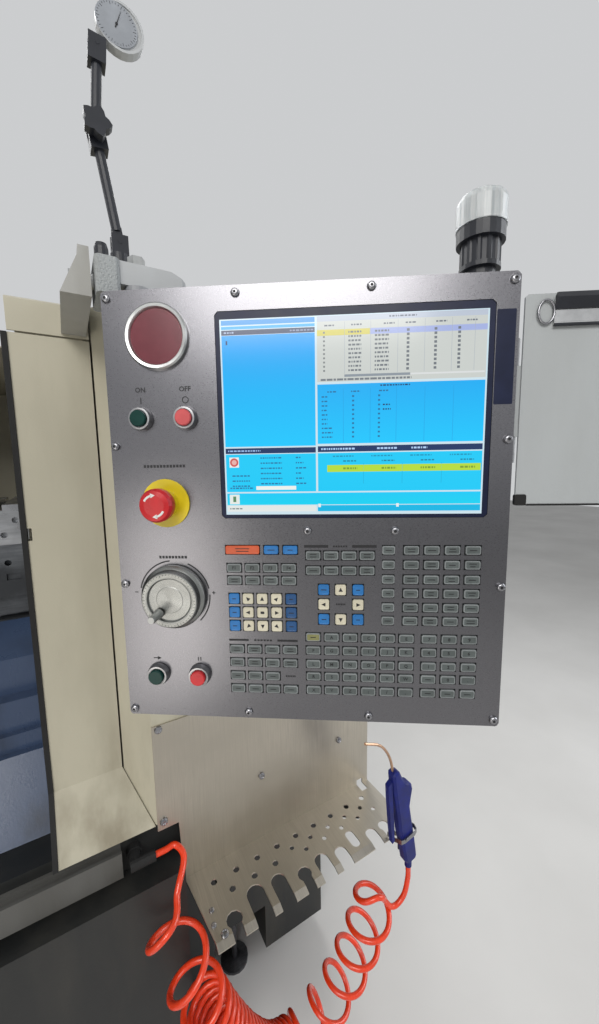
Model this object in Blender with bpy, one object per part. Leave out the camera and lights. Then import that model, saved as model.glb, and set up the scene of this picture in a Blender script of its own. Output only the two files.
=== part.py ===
"""A compact CNC turning lathe with its operator station at the front right.

Metres, +Z up, +X to the operator's right, +Y into the machine. While the pieces are made, x is
measured from the left front edge of the control column, y from the column's front and z from the
floor. The last step stands the machine with the middle of its footprint at the origin.
Pieces of the operator pendant are made in the pendant's own axes: x right across the face plate,
y into it and z up, from the middle of the plate's front.
"""

import math

import bmesh
import bpy
from mathutils import Matrix, Vector

GAP = 0.0003
CUT_OVERRUN = 0.004
SHEET = 0.003

MACHINE_LEFT = -1.250
MACHINE_REAR = 0.970
MACHINE_TOP = 1.700
COLUMN_WIDTH = 0.490
COLUMN_SIDE_X = -0.043
COLUMN_BEVEL_DEPTH = 0.055
COLUMN_SLOT_WIDTH = 0.005
COLUMN_SLOT_HEIGHT = 0.014
COLUMN_SLOT_DEPTH = 0.006
COLUMN_SLOT_HEIGHTS = (1.5935, 1.5790, 1.5195, 1.4960)
COLUMN_SLOT_ALONG_SHARES = (0.40, 0.56, 0.40, 0.42)

BASE_BOTTOM = 0.060
BASE_FRONT = -0.030
BASE_TOP = 0.719
BASE_STEP_X = 0.0385
BASE_STEP_FRONT = 0.210
DECK_TOP = 0.8027
COLUMN_BOTTOM = DECK_TOP + GAP
DECK_FRONT = 0.025
DECK_RIGHT_FRONT = 0.004
DECK_STEP_X = 0.042
FOOT_POCKET_LEFT = 0.150
FOOT_POCKET_WIDTH = 0.150
FOOT_POCKET_DEPTH = 0.130
FOOT_POCKET_TOP = 0.200

FOOT_PAD_RADIUS = 0.040
FOOT_PAD_EDGE = 0.008
FOOT_PAD_HEIGHT = 0.016
FOOT_STUD_RADIUS = 0.009
FOOT_STUD_IN_BASE = 0.030
FOOT_NUT_RADIUS = 0.017
FOOT_NUT_HEIGHT = 0.014
FOOT_INSET = 0.070

PANEL_LEFT = -0.153
PANEL_CREASE_Z = 0.900
PANEL_BOTTOM = 0.802
PANEL_CLEARANCE = 0.003
HEADER_BOTTOM = 1.651
HEADER_GAP = 0.003
HEADER_REACH = 0.260
SEAL_WIDTH = 0.008
SEAL_DEPTH = 0.022
SEAL_PROUD = 0.002
LATCH_Z = 1.345
LATCH_HEIGHT = 0.020
LATCH_DEPTH = 0.006

SHELL_FRONT = 0.080
SHELL_TOP = 1.690
OPENING_LEFT = -0.663
ROOF_OPENING_DEPTH = 0.240

DOOR_WIDTH = 0.560
DOOR_TRAVEL = 0.525
DOOR_DEPTH = 0.020
DOOR_TOP = 1.703
DOOR_ROOF_REACH = 0.255
DOOR_BOTTOM = 0.800
DOOR_FLANGE = 0.012
DOOR_SEAL_CLEARANCE = 0.002
DOOR_SHOE_LENGTH = 0.060
DOOR_SHOE_INSET = 0.050
WINDOW_WIDTH = 0.300
WINDOW_HEIGHT = 0.360
WINDOW_CENTRE_Z = 1.300
WINDOW_CORNER = 0.030
WINDOW_LAP = 0.015
WINDOW_THICKNESS = 0.006
HANDLE_RADIUS = 0.011
HANDLE_LENGTH = 0.320
HANDLE_STANDOFF = 0.038
HANDLE_INSET = 0.050
HANDLE_CENTRE_Z = 1.180
HANDLE_POST_RADIUS = 0.008
HANDLE_POST_INSET = 0.030

RAIL_TOP = 0.784
RAIL_BOTTOM = 0.737
RAIL_FRONT = -0.004
RAIL_RIGHT = -0.061
RAIL_LIP = 0.008
RAIL_WALL = 0.006

COVER_CLEARANCE = 0.0015
COVER_STEP_DEPTHS = (0.0815, 0.015, 0.015, 0.030, 0.096)
COVER_STEP_HEIGHTS = (0.114, 0.033, 0.060, 0.071, 0.047)
COVER_LEFT = -1.230
COVER_RIGHT = -0.056

BED_FRONT = 0.330
BED_REAR = 0.720
BED_TOP = 1.128
BED_FOOT = 0.040
WAY_WIDTH = 0.034
WAY_HEIGHT = 0.026
WAY_INSET = 0.045
WAY_NECK_SHARE = 0.62
WAY_RIGHT = -0.070
SPINDLE_Y = 0.440
SPINDLE_Z = 1.405
HEADSTOCK_LEFT = -1.232
HEADSTOCK_RIGHT = -0.790
HEADSTOCK_FRONT = 0.335
HEADSTOCK_REAR = 0.640
HEADSTOCK_TOP = 1.540
HEADSTOCK_CHAMFER = 0.050
SPINDLE_CLEARANCE = 0.0006
SPINDLE_BORE_DEPTH = 0.080
SPINDLE_NOSE_RADIUS = 0.055
SPINDLE_NOSE_LENGTH = 0.055
SPINDLE_CAP_RADIUS = 0.072
SPINDLE_CAP_LENGTH = 0.022
COLLET_RADIUS = 0.026
COLLET_PROUD = 0.012
COLLET_LENGTH = 0.060
COLLET_BORE_RADIUS = 0.010
COLLET_SLOT = 0.0016

CARRIAGE_LEFT = -0.500
CARRIAGE_RIGHT = -0.165
CARRIAGE_TOP = 1.213
TRUCK_CLEARANCE = 0.0006
TRUCK_LENGTH = 0.080
TRUCK_WALL = 0.014
CARRIAGE_PLATE = 0.036
CROSS_WAY_WIDTH = 0.024
CROSS_WAY_HEIGHT = 0.014
CROSS_WAY_INSET = 0.040
CROSS_FRONT = 0.325
CROSS_REAR = 0.640
CROSS_LEFT = -0.490
CROSS_RIGHT = -0.170
CROSS_TOP = 1.288
TOOL_BLOCK_FRONT = 0.328
TOOL_BLOCK_REAR = 0.600
TOOL_BLOCK_LEFT = -0.470
TOOL_BLOCK_RIGHT = -0.172
TOOL_BLOCK_TOP = 1.373
TOOL_HOLE_RADIUS = 0.0065
TOOL_HOLE_DEPTH = 0.020
TOOL_HOLE_PITCH = 0.043
TOOL_HOLE_ROW = 0.030
TOOL_SLOT_WIDTH = 0.016
TOOL_SLOT_DEPTH = 0.012
TOOL_SLOT_COUNT = 3
HOLDER_WIDTH = 0.050
HOLDER_LENGTH = 0.110
HOLDER_TOP = 1.432
HOLDER_GROOVE = 0.026
SHANK_SIZE = 0.020
SHANK_REACH = 0.090
SHANK_LENGTH = 0.185
INSERT_SIZE = 0.012

TRAY_THICKNESS = 0.0025
TRAY_PLATE_TOP = 0.995
TRAY_NOTCH_Z = 0.792
TRAY_NOTCH_X = 0.037
TRAY_FOLD_Z = 0.667
TRAY_FOLD_LEFT = 0.042
TRAY_FRONT_LEFT = 0.059
TRAY_DEPTH = 0.145
TRAY_CHAMFER_X = 0.033
TRAY_CHAMFER_Y = 0.066
TRAY_LIP = 0.012
TRAY_LIP_DROP = 0.004
TRAY_HOLE_RADIUS = 0.0062
TRAY_SMALL_RADIUS = 0.0050
TRAY_PITCH = 0.0445
TRAY_ROW_DEPTHS = (0.038, 0.067, 0.057, 0.074)
TRAY_ROW_STARTS = (0.087, 0.113, 0.245, 0.269)
TRAY_ROW_COUNTS = (9, 3, 5, 5)
TRAY_SLOT_CENTRES = (0.098, 0.146, 0.192, 0.241, 0.283, 0.325, 0.404, 0.439)
TRAY_SLOT_HEADS = (0.115, 0.097, 0.100, 0.114, 0.110, 0.117, 0.118, 0.117)
TRAY_SLOT_RADII = (0.0145, 0.0165, 0.0145, 0.0140, 0.0145, 0.0130, 0.0125, 0.0120)
TRAY_THROAT_SHARES = (0.68, 1.0, 1.0, 0.68, 1.0, 1.0, 1.0, 0.72)
TRAY_OVAL_X = 0.363
TRAY_OVAL_Y = 0.106
TRAY_OVAL_RADIUS = 0.0095
TRAY_OVAL_LENGTH = 0.020
TRAY_HAND_X = 0.466
TRAY_HAND_RADIUS = 0.0085
TRAY_HAND_DEPTH = 0.024
TRAY_HAND_RISE = 0.014
TRAY_SCREW_RADIUS = 0.0060
TRAY_SCREW_HEIGHT = 0.0030
TRAY_RIVET_RADIUS = 0.0042
TRAY_PLATE_SCREWS = ((0.011, 0.988), (0.011, 0.808), (0.206, 0.810), (0.403, 0.811))
TRAY_RIVETS = ((0.068, 0.082), (0.064, 0.106))
TRAY_CORNER_SCREW = (0.076, 0.128)
BRACKET_LEFT = 0.105
BRACKET_RIGHT = 0.434
BRACKET_BOTTOM = 0.600
BRACKET_TOP = 0.760
BRACKET_WALL = 0.004
BRACKET_ARM_WIDTH = 0.020
BRACKET_ARM_REACH = 0.078
BRACKET_ARM_DROP = 0.030

FITTING_X = -0.040
FITTING_Z = 0.757
FITTING_RADIUS = 0.0095
FITTING_LENGTH = 0.032
FITTING_NUT_RADIUS = 0.013
FITTING_NUT_LENGTH = 0.012
FITTING_ELBOW_Y = -0.010

HOSE_RADIUS = 0.0055
HOSE_COIL_RADIUS = 0.033
HOSE_TAPER_POINTS = 2
HOSE_POINTS = 50
HOSE_HEAD_POINTS = (
    (0.010, -0.010, 0.757),
    (0.027, -0.010, 0.757),
    (0.036, -0.034, 0.750),
    (0.018, -0.064, 0.730),
)
HOSE_COIL_POINTS = (
    (0.000, -0.080, 0.690),
    (0.014, -0.090, 0.625),
    (0.036, -0.098, 0.545),
    (0.073, -0.100, 0.445),
    (0.115, -0.098, 0.355),
    (0.165, -0.094, 0.285),
    (0.225, -0.090, 0.258),
    (0.285, -0.096, 0.290),
    (0.335, -0.110, 0.355),
    (0.378, -0.128, 0.438),
    (0.412, -0.146, 0.520),
)
HOSE_TAIL_POINTS = (
    (0.446, -0.163, 0.546),
    (0.463, -0.164, 0.553),
    (0.466, -0.164, 0.575),
)

GUN_Y = -0.164
GUN_TOP_X = 0.417
GUN_TOP_Z = 0.842
GUN_BOTTOM_X = 0.466
GUN_BOTTOM_Z = 0.618
GUN_THICKNESS = 0.022
GUN_WIDTH = 0.034
GUN_OUTLINE_SHARES = (
    (0.00, -0.18),
    (0.00, 0.30),
    (0.10, 0.46),
    (0.16, 0.64),
    (0.20, 0.98),
    (0.26, 1.08),
    (0.33, 0.88),
    (0.42, 0.64),
    (0.55, 0.61),
    (0.80, 0.58),
    (0.97, 0.52),
    (1.00, 0.36),
    (1.00, -0.30),
    (0.95, -0.42),
    (0.60, -0.42),
    (0.45, -0.36),
    (0.20, -0.30),
    (0.08, -0.24),
)
GUN_CHAMFER = 0.005
GUN_INLET_RADIUS = 0.0075
GUN_INLET_LENGTH = 0.016
TRIGGER_THICKNESS = 0.010
TRIGGER_PIVOT_SHARES = (0.10, -0.40)
TRIGGER_OUTLINE_SHARES = (
    (0.070, -0.235),
    (0.110, -0.255),
    (0.200, -0.380),
    (0.500, -0.660),
    (0.660, -0.840),
    (0.670, -1.020),
    (0.500, -0.930),
    (0.200, -0.680),
    (0.090, -0.560),
)
NOZZLE_RADIUS = 0.0026
NOZZLE_POINTS = (
    (0.000, 0.000),
    (-0.0049, 0.0224),
    (-0.0160, 0.047),
    (-0.0360, 0.070),
    (-0.0710, 0.087),
)
HANGER_WIDTH = 0.008
HANGER_THICKNESS = 0.0025
HANGER_FINGER_X = 0.4525
HANGER_REACH = 0.018
HANGER_DROP = 0.016

SWIVEL_X = 0.003
SWIVEL_Y = -0.120
SWIVEL_BOLT_RADIUS = 0.006
SWIVEL_CLEARANCE = 0.0003
SWIVEL_HEAD_RADIUS = 0.0105
SWIVEL_HEAD_HEIGHT = 0.010
SWIVEL_BOSS_RADIUS = 0.016
SWIVEL_ENGAGE = 0.014
ARM_LEFT = -0.0187
ARM_RIGHT = 0.063
ARM_FRONT = -0.130
ARM_REAR = -0.062
ARM_BOTTOM = 1.672
ARM_TOP = 1.699
ARM_RIGHT_SLOPE = 0.010
ARM_CHAMFER = 0.006
KNUCKLE_LEFT = -0.046
KNUCKLE_RIGHT = -0.019
KNUCKLE_FRONT = -0.136
KNUCKLE_BOTTOM = 1.657
KNUCKLE_CHAMFER = 0.004
POST_LEFT = -0.062
POST_RIGHT = -0.050
POST_FOOT_LEFT = -0.084
POST_FRONT = -0.118
POST_REAR = 0.0547
POST_TOP = 1.712
POST_SHOULDER = 1.700
POST_BOTTOM = 1.655
PIVOT_Y = -0.100
PIVOT_Z = 1.679
PIVOT_RADIUS = 0.005
PIVOT_END_X = -0.022
PIVOT_NUT_RADIUS = 0.0100
PIVOT_NUT_LENGTH = 0.011
PIVOT_WASHER_RADIUS = 0.009
CLAMP_X = -0.037
CLAMP_Y = -0.124
CLAMP_RADIUS = 0.008
CLAMP_HEIGHT = 0.022
CLAMP_STUD_RADIUS = 0.004

PLATE_CENTRE_X = 0.1517
PLATE_CENTRE_Y = -0.2791
PLATE_TOP_Z = 1.6536
PENDANT_TURN = math.radians(-35.065)
PLATE_WIDTH = 0.477
PLATE_HEIGHT = 0.534
PLATE_CENTRE_Z = PLATE_TOP_Z - PLATE_HEIGHT / 2
PLATE_THICKNESS = 0.003
PLATE_CORNER = 0.004
HOUSING_INSET = 0.003
HOUSING_DEPTH = 0.130
HOUSING_TAPER_DEPTH = 0.018
HOUSING_TAPER = 0.012
PLATE_SCREW_RADIUS = 0.0048
PLATE_SCREW_HEIGHT = 0.0030
PLATE_SCREW_INSET = 0.0065
PLATE_SCREW_TOP_X = 0.0774
PLATE_SCREW_SIDE_Z = 0.087
PLATE_SCREW_MIDDLE_X = (0.0024, 0.1073)
PLATE_SCREW_MIDDLE_Z = -0.0187
SCREEN_LEFT = -0.103
SCREEN_RIGHT = 0.2135
SCREEN_BOTTOM = -0.003
SCREEN_TOP = 0.239
SCREEN_RECESS = 0.0008
SCREEN_CORNER = 0.004

KEY_PROUD = 0.0014
KEY_CLEARANCE = 0.0007
KEY_TAPER = 0.0008
KEY_HEIGHT = 0.0112
KEY_WIDTH = 0.0186
KEYPAD_MARGIN = 0.006
KEYPAD_THICKNESS = 0.0026
KEY_SQUARE = 0.0138
KEY_WIDE = 0.0430
KEY_FUNCTION_PITCH = 0.0228
KEY_DISPLAY_PITCH = 0.0218
KEY_ALPHA_PITCH = 0.0230
KEY_JOG_X = (-0.0912, -0.0736, -0.0556, -0.0376, -0.0192)
KEY_JOG_Z = (-0.1050, -0.1228, -0.1406)
KEY_RESET_X = -0.0787
KEY_BLUE_X = (-0.0428, -0.0192)
KEY_TOP_Z = -0.0423
KEY_FUNCTION_X = -0.0898
KEY_FUNCTION_Z = (-0.0652, -0.0812)
KEY_LOWER_Z = (-0.1718, -0.1897, -0.2077, -0.2254)
KEY_DISPLAY_X = 0.0090
KEY_DISPLAY_Z = (-0.0492, -0.0680)
KEY_CURSOR_X = (0.0216, 0.0424, 0.0637)
KEY_CURSOR_Z = (-0.0923, -0.1111, -0.1304)
KEY_PAGE_X = 0.1000
KEY_PAGE_Z = (-0.0424, -0.0604, -0.0786, -0.0961, -0.1140, -0.1311)
KEY_MODE_X = 0.1270
KEY_MODE_PITCH = 0.0240
KEY_ALPHA_X = 0.0080
KEY_ALPHA_Z = (-0.1541, -0.1717, -0.1898, -0.2066, -0.2250)
KEY_NUMBER_X = 0.1505
KEY_NUMBER_PITCH = 0.0240

BUTTON_RADIUS = 0.0097
BUTTON_BORE_RADIUS = 0.0100
BEZEL_RADIUS = 0.0125
BEZEL_HEIGHT = 0.008
BUTTON_PROUD = 0.005
BUTTON_LENGTH = 0.0105
BUTTON_TRAVEL = 0.003
BUTTON_ROUND = 0.0010
BUTTON_PLACES = {
    "power_on_button": (-0.197, 0.119),
    "power_off_button": (-0.142, 0.119),
    "cycle_start_button": (-0.195, -0.208),
    "feed_hold_button": (-0.140, -0.208),
}
BADGE_X = -0.172
BADGE_Z = 0.213
BADGE_RADIUS = 0.0375
BADGE_THICKNESS = 0.005
BADGE_RIM = 0.004
BADGE_DISH = 0.002
ESTOP_X = -0.1725
ESTOP_Z = 0.0165
ESTOP_DISC_RADIUS = 0.030
ESTOP_DISC_THICKNESS = 0.0022
ESTOP_COLLAR_RADIUS = 0.0165
ESTOP_COLLAR_HEIGHT = 0.012
ESTOP_STEM_RADIUS = 0.011
ESTOP_BORE_RADIUS = 0.0114
ESTOP_HEAD_RADIUS = 0.020
ESTOP_HEAD_HEIGHT = 0.019
ESTOP_HEAD_LIFT = 0.005
ESTOP_POCKET_DEPTH = 0.014
JOG_X = -0.168
JOG_Z = -0.102
JOG_RADIUS = 0.041
JOG_RIM_HEIGHT = 0.010
JOG_STEP_RADIUS = 0.036
JOG_FACE_HEIGHT = 0.019
JOG_DISH_RADIUS = 0.027
JOG_DISH_DEPTH = 0.003
JOG_SHAFT_RADIUS = 0.008
JOG_FACE_CLEARANCE = 0.0012
JOG_KNOB_ARM = 0.0215
JOG_KNOB_ANGLE = math.radians(231)
JOG_KNOB_RADIUS = 0.0062
JOG_KNOB_TIP_RADIUS = 0.0050
JOG_KNOB_LENGTH = 0.022

BEACON_X = 0.211
BEACON_Y = 0.050
BEACON_STEM_RADIUS = 0.018
BEACON_STEM_HEIGHT = 0.024
BEACON_FLANGE_RADIUS = 0.0235
BEACON_FLANGE_HEIGHT = 0.005
BEACON_BODY_RADIUS = 0.0215
BEACON_BODY_HEIGHT = 0.026
BEACON_RIB_COUNT = 12
BEACON_RIB_DEPTH = 0.0014
BEACON_COLLAR_RADIUS = 0.0275
BEACON_COLLAR_HEIGHT = 0.016
BEACON_LENS_RADIUS = 0.0285
BEACON_LENS_HEIGHT = 0.036
BEACON_LENS_ROUND = 0.010
BEACON_LENS_WALL = 0.0020
BEACON_LAMP_RADIUS = 0.008
BEACON_LAMP_HEIGHT = 0.018

CLIPBOARD_GAP = 0.008
CLIPBOARD_WIDTH = 0.300
CLIPBOARD_BOTTOM = 0.011
CLIPBOARD_TOP = 0.245
CLIPBOARD_THICKNESS = 0.003
CLIPBOARD_SETBACK = 0.008
CLIPBOARD_CORNER = 0.003
HINGE_RADIUS = 0.0050
HINGE_PIN_RADIUS = 0.0018
HINGE_CLEARANCE = 0.0004
HINGE_LOW = 0.060
HINGE_HIGH = 0.200
HINGE_LUG = 0.030
CLIP_LEFT = 0.030
CLIP_LENGTH = 0.240
CLIP_HEIGHT = 0.024
CLIP_SHEET = 0.0012
CLIP_SPINE_RADIUS = 0.005
CLIP_STANDOFF = 0.0004
BAIL_RADIUS = 0.0016
BAIL_DROP = 0.012
BAIL_BEND_SHARES = (0.0, 0.30, 0.38, 0.46, 0.54, 1.0)

HOLDER_BASE_X = -0.011
HOLDER_BASE_Y = -0.088
HOLDER_BASE_RADIUS = 0.012
HOLDER_BASE_HEIGHT = 0.024
HOLDER_FORK_HEIGHT = 0.014
HOLDER_FORK_GAP = 0.0086
HOLDER_FORK_WIDTH = 0.020
HOLDER_FORK_DEPTH = 0.018
HOLDER_FORK_REACH = 0.020
ARM_TUBE_RADIUS = 0.0062
ARM_TUBE_INSET = 0.0145
ARM_EYE_RADIUS = 0.0085
ARM_EYE_THICKNESS = 0.008
ARM_PIN_RADIUS = 0.0028
ARM_PIN_CLEARANCE = 0.0004
ELBOW_X = -0.030
ELBOW_Z = 1.860
WRIST_X = -0.022
WRIST_Z = 1.958
STAR_RADIUS = 0.017
STAR_LOBE_RADIUS = 0.0052
STAR_LOBES = 5
STAR_THICKNESS = 0.012
STAR_STANDOFF = 0.003
GAUGE_X = 0.006
GAUGE_Z = 1.990
GAUGE_RADIUS = 0.028
GAUGE_RIM = 0.003
GAUGE_THICKNESS = 0.012
GAUGE_STEM_RADIUS = 0.0045

SPINDLE_STEPS = 28
EDGE_STEPS = 16
ROUND_STEPS = 24
SMALL_STEPS = 12
SCREW_STEPS = 8


def clear_scene():
    for old in list(bpy.data.objects):
        bpy.data.objects.remove(old, do_unlink=True)


def material(name, colour, roughness, metallic=0.0, alpha=1.0):
    made = bpy.data.materials.new(name)
    made.use_nodes = True
    shader = made.node_tree.nodes["Principled BSDF"]
    shader.inputs["Base Color"].default_value = (*colour, 1.0)
    shader.inputs["Roughness"].default_value = roughness
    shader.inputs["Metallic"].default_value = metallic
    shader.inputs["Alpha"].default_value = alpha
    made.diffuse_color = (*colour, alpha)
    return made


def make_materials():
    return {
        "cream": material("cream_paint", (0.62, 0.58, 0.47), 0.38),
        "charcoal": material("charcoal_paint", (0.030, 0.032, 0.034), 0.50),
        "black": material("black_paint", (0.008, 0.008, 0.009), 0.55),
        "grey": material("grey_paint", (0.19, 0.21, 0.23), 0.42),
        "pale": material("pale_grey_paint", (0.52, 0.53, 0.52), 0.40),
        "blue_grey": material("blue_grey_sheet", (0.12, 0.17, 0.27), 0.35, 0.3),
        "steel": material("brushed_steel", (0.50, 0.48, 0.45), 0.30, 1.0),
        "dark_steel": material("dark_steel", (0.18, 0.18, 0.20), 0.38, 1.0),
        "chrome": material("chrome", (0.80, 0.80, 0.80), 0.10, 1.0),
        "copper": material("copper", (0.72, 0.40, 0.25), 0.25, 1.0),
        "rubber": material("black_rubber", (0.010, 0.010, 0.010), 0.75),
        "plastic": material("black_plastic", (0.014, 0.015, 0.018), 0.45),
        "key": material("key_rubber", (0.20, 0.22, 0.22), 0.55),
        "glass": material("clear_glass", (0.85, 0.90, 0.90), 0.05, 0.0, 0.35),
        "screen": material("screen", (0.02, 0.45, 0.80), 0.15),
        "red": material("red_plastic", (0.62, 0.03, 0.03), 0.30),
        "green": material("green_plastic", (0.005, 0.06, 0.04), 0.30),
        "yellow": material("yellow_plastic", (0.75, 0.52, 0.01), 0.35),
        "maroon": material("maroon_enamel", (0.16, 0.010, 0.020), 0.25),
        "blue": material("blue_plastic", (0.01, 0.035, 0.28), 0.38),
        "orange": material("orange_hose", (0.90, 0.07, 0.01), 0.30),
    }


def placed(first, second, along, axis):
    """A point from two coordinates across an axis and one along it."""
    if axis == "z":
        return Vector((first, second, along))
    if axis == "y":
        return Vector((first, along, second))
    return Vector((along, first, second))


def prism(bm, outline, low, high, axis="z"):
    """Adds the closed solid that the outline sweeps from low to high along an axis.

    The outline is in (x, y) for axis z, (x, z) for axis y and (y, z) for axis x.
    """
    rings = []
    for along in (low, high):
        rings.append([bm.verts.new(placed(a, b, along, axis)) for a, b in outline])
    count = len(outline)
    bm.faces.new(rings[0])
    bm.faces.new(rings[1])
    for i in range(count):
        j = (i + 1) % count
        bm.faces.new((rings[0][i], rings[0][j], rings[1][j], rings[1][i]))


def block(bm, x, y, z):
    """Adds a box from three (low, high) pairs."""
    prism(bm, ((x[0], y[0]), (x[1], y[0]), (x[1], y[1]), (x[0], y[1])), z[0], z[1])


def chamfered(x, y, corner):
    """A rectangle's outline with its four corners cut at 45 degrees."""
    return (
        (x[0] + corner, y[0]),
        (x[1] - corner, y[0]),
        (x[1], y[0] + corner),
        (x[1], y[1] - corner),
        (x[1] - corner, y[1]),
        (x[0] + corner, y[1]),
        (x[0], y[1] - corner),
        (x[0], y[0] + corner),
    )


def circle(centre, radius, steps, start=0.0):
    points = []
    for i in range(steps):
        angle = start + 2 * math.pi * i / steps
        points.append((centre[0] + radius * math.cos(angle), centre[1] + radius * math.sin(angle)))
    return points


def turned(bm, profile, centre, axis, steps=ROUND_STEPS):
    """Adds the solid that a profile of (radius, along) points turns about an axis.

    The profile starts and ends on the axis. centre is where the axis crosses, across the axis.
    """
    rings = []
    for radius, along in profile:
        if radius == 0:
            rings.append([bm.verts.new(placed(centre[0], centre[1], along, axis))])
        else:
            ring = circle(centre, radius, steps)
            rings.append([bm.verts.new(placed(a, b, along, axis)) for a, b in ring])
    for low, high in zip(rings, rings[1:]):
        for i in range(steps):
            j = (i + 1) % steps
            if len(low) == 1 and len(high) == 1:
                continue
            if len(low) == 1:
                bm.faces.new((low[0], high[j], high[i]))
            elif len(high) == 1:
                bm.faces.new((low[i], low[j], high[0]))
            else:
                bm.faces.new((low[i], low[j], high[j], high[i]))


def turned_ring(bm, profile, centre, axis, steps=ROUND_STEPS):
    """Adds the ring that a closed profile of (radius, along) points turns about an axis."""
    rings = []
    for radius, along in profile:
        ring = circle(centre, radius, steps)
        rings.append([bm.verts.new(placed(a, b, along, axis)) for a, b in ring])
    for low, high in zip(rings, rings[1:] + rings[:1]):
        for i in range(steps):
            j = (i + 1) % steps
            bm.faces.new((low[i], low[j], high[j], high[i]))


def rod(bm, centre, radius, low, high, axis, steps=ROUND_STEPS):
    prism(bm, circle(centre, radius, steps), low, high, axis)


def bar_between(bm, start, end, radius, steps=SMALL_STEPS):
    """Adds a round bar between two points."""
    line = Vector(end) - Vector(start)
    turn = line.to_track_quat("Z", "Y").to_matrix().to_4x4()
    place = Matrix.Translation((Vector(start) + Vector(end)) / 2) @ turn
    bmesh.ops.create_cone(
        bm, cap_ends=True, segments=steps, radius1=radius, radius2=radius, depth=line.length, matrix=place
    )


def wire(bm, points, radius, steps=SCREW_STEPS):
    """Adds a round wire along points that lie in a plane of constant y."""
    places = [Vector(point) for point in points]
    rings = []
    for i, place in enumerate(places):
        before = places[i] - places[i - 1] if i else places[1] - places[0]
        after = places[i + 1] - places[i] if i + 1 < len(places) else before
        along = (before.normalized() + after.normalized()).normalized()
        side = Vector((-along.z, 0, along.x))
        stretch = 1 / max(along.dot(after.normalized()), 0.5)
        ring = []
        for k in range(steps):
            angle = 2 * math.pi * (k + 0.5) / steps
            across = side * (radius * stretch * math.cos(angle))
            ring.append(bm.verts.new(place + across + Vector((0, radius * math.sin(angle), 0))))
        rings.append(ring)
    bm.faces.new(rings[0])
    bm.faces.new(rings[-1])
    for low, high in zip(rings, rings[1:]):
        for i in range(steps):
            j = (i + 1) % steps
            bm.faces.new((low[i], low[j], high[j], high[i]))


def folded(bm, front_faces, offset):
    """Adds the sheet that faces sweep along an offset. The faces share corners by their places."""
    corners = {}
    faces = []
    for face in front_faces:
        for point in face:
            if point not in corners:
                shifted = tuple(p + o for p, o in zip(point, offset))
                corners[point] = (bm.verts.new(point), bm.verts.new(shifted))
        faces.append([corners[point] for point in face])
    edges = {}
    for face in faces:
        bm.faces.new([pair[0] for pair in face])
        bm.faces.new([pair[1] for pair in reversed(face)])
        for a, b in zip(face, face[1:] + face[:1]):
            key = frozenset((id(a), id(b)))
            edges.setdefault(key, []).append((a, b))
    for shared in edges.values():
        if len(shared) == 1:
            a, b = shared[0]
            bm.faces.new((a[0], b[0], b[1], a[1]))


def mesh_of(name, fill):
    """A mesh made by a function that fills a bmesh, with its faces turned outwards."""
    bm = bmesh.new()
    fill(bm)
    bmesh.ops.recalc_face_normals(bm, faces=bm.faces)
    mesh = bpy.data.meshes.new(name)
    bm.to_mesh(mesh)
    bm.free()
    return mesh


def node(name, paint, fill, parent, origin=(0, 0, 0), smooth=None):
    """An object made by a function that fills a bmesh in its parent's axes, with its origin set."""
    made = bpy.data.objects.new(name, mesh_of(name, fill))
    bpy.context.scene.collection.objects.link(made)
    made.data.transform(Matrix.Translation(-Vector(origin)))
    made.location = origin
    made.data.materials.append(paint)
    made.parent = parent
    if smooth:
        made.data.shade_smooth()
        made.data.set_sharp_from_angle(angle=math.radians(smooth))
    return made


def helper(name, fill, parent):
    made = bpy.data.objects.new(name, mesh_of(name, fill))
    bpy.context.scene.collection.objects.link(made)
    made.hide_render = True
    made.display_type = "WIRE"
    made.parent = parent
    return made


def boolean(target, fill, operation, overlapping=False):
    """Cuts a shape from an object, or joins one to it. overlapping: the shape's own solids overlap."""
    step = len(target.modifiers)
    tool = helper(f"{target.name}_{operation.lower()}_{step}", fill, target.parent)
    modifier = target.modifiers.new(f"{operation.lower()}_{step}", "BOOLEAN")
    modifier.operation = operation
    modifier.object = tool
    modifier.solver = "EXACT"
    modifier.use_self = overlapping


def cut(target, fill):
    boolean(target, fill, "DIFFERENCE")


def join(target, fill, overlapping=False):
    boolean(target, fill, "UNION", overlapping)


def empty(name, location, parent=None, turn=0.0):
    made = bpy.data.objects.new(name, None)
    bpy.context.scene.collection.objects.link(made)
    made.location = location
    made.rotation_euler = (0, 0, turn)
    made.parent = parent
    return made


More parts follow.
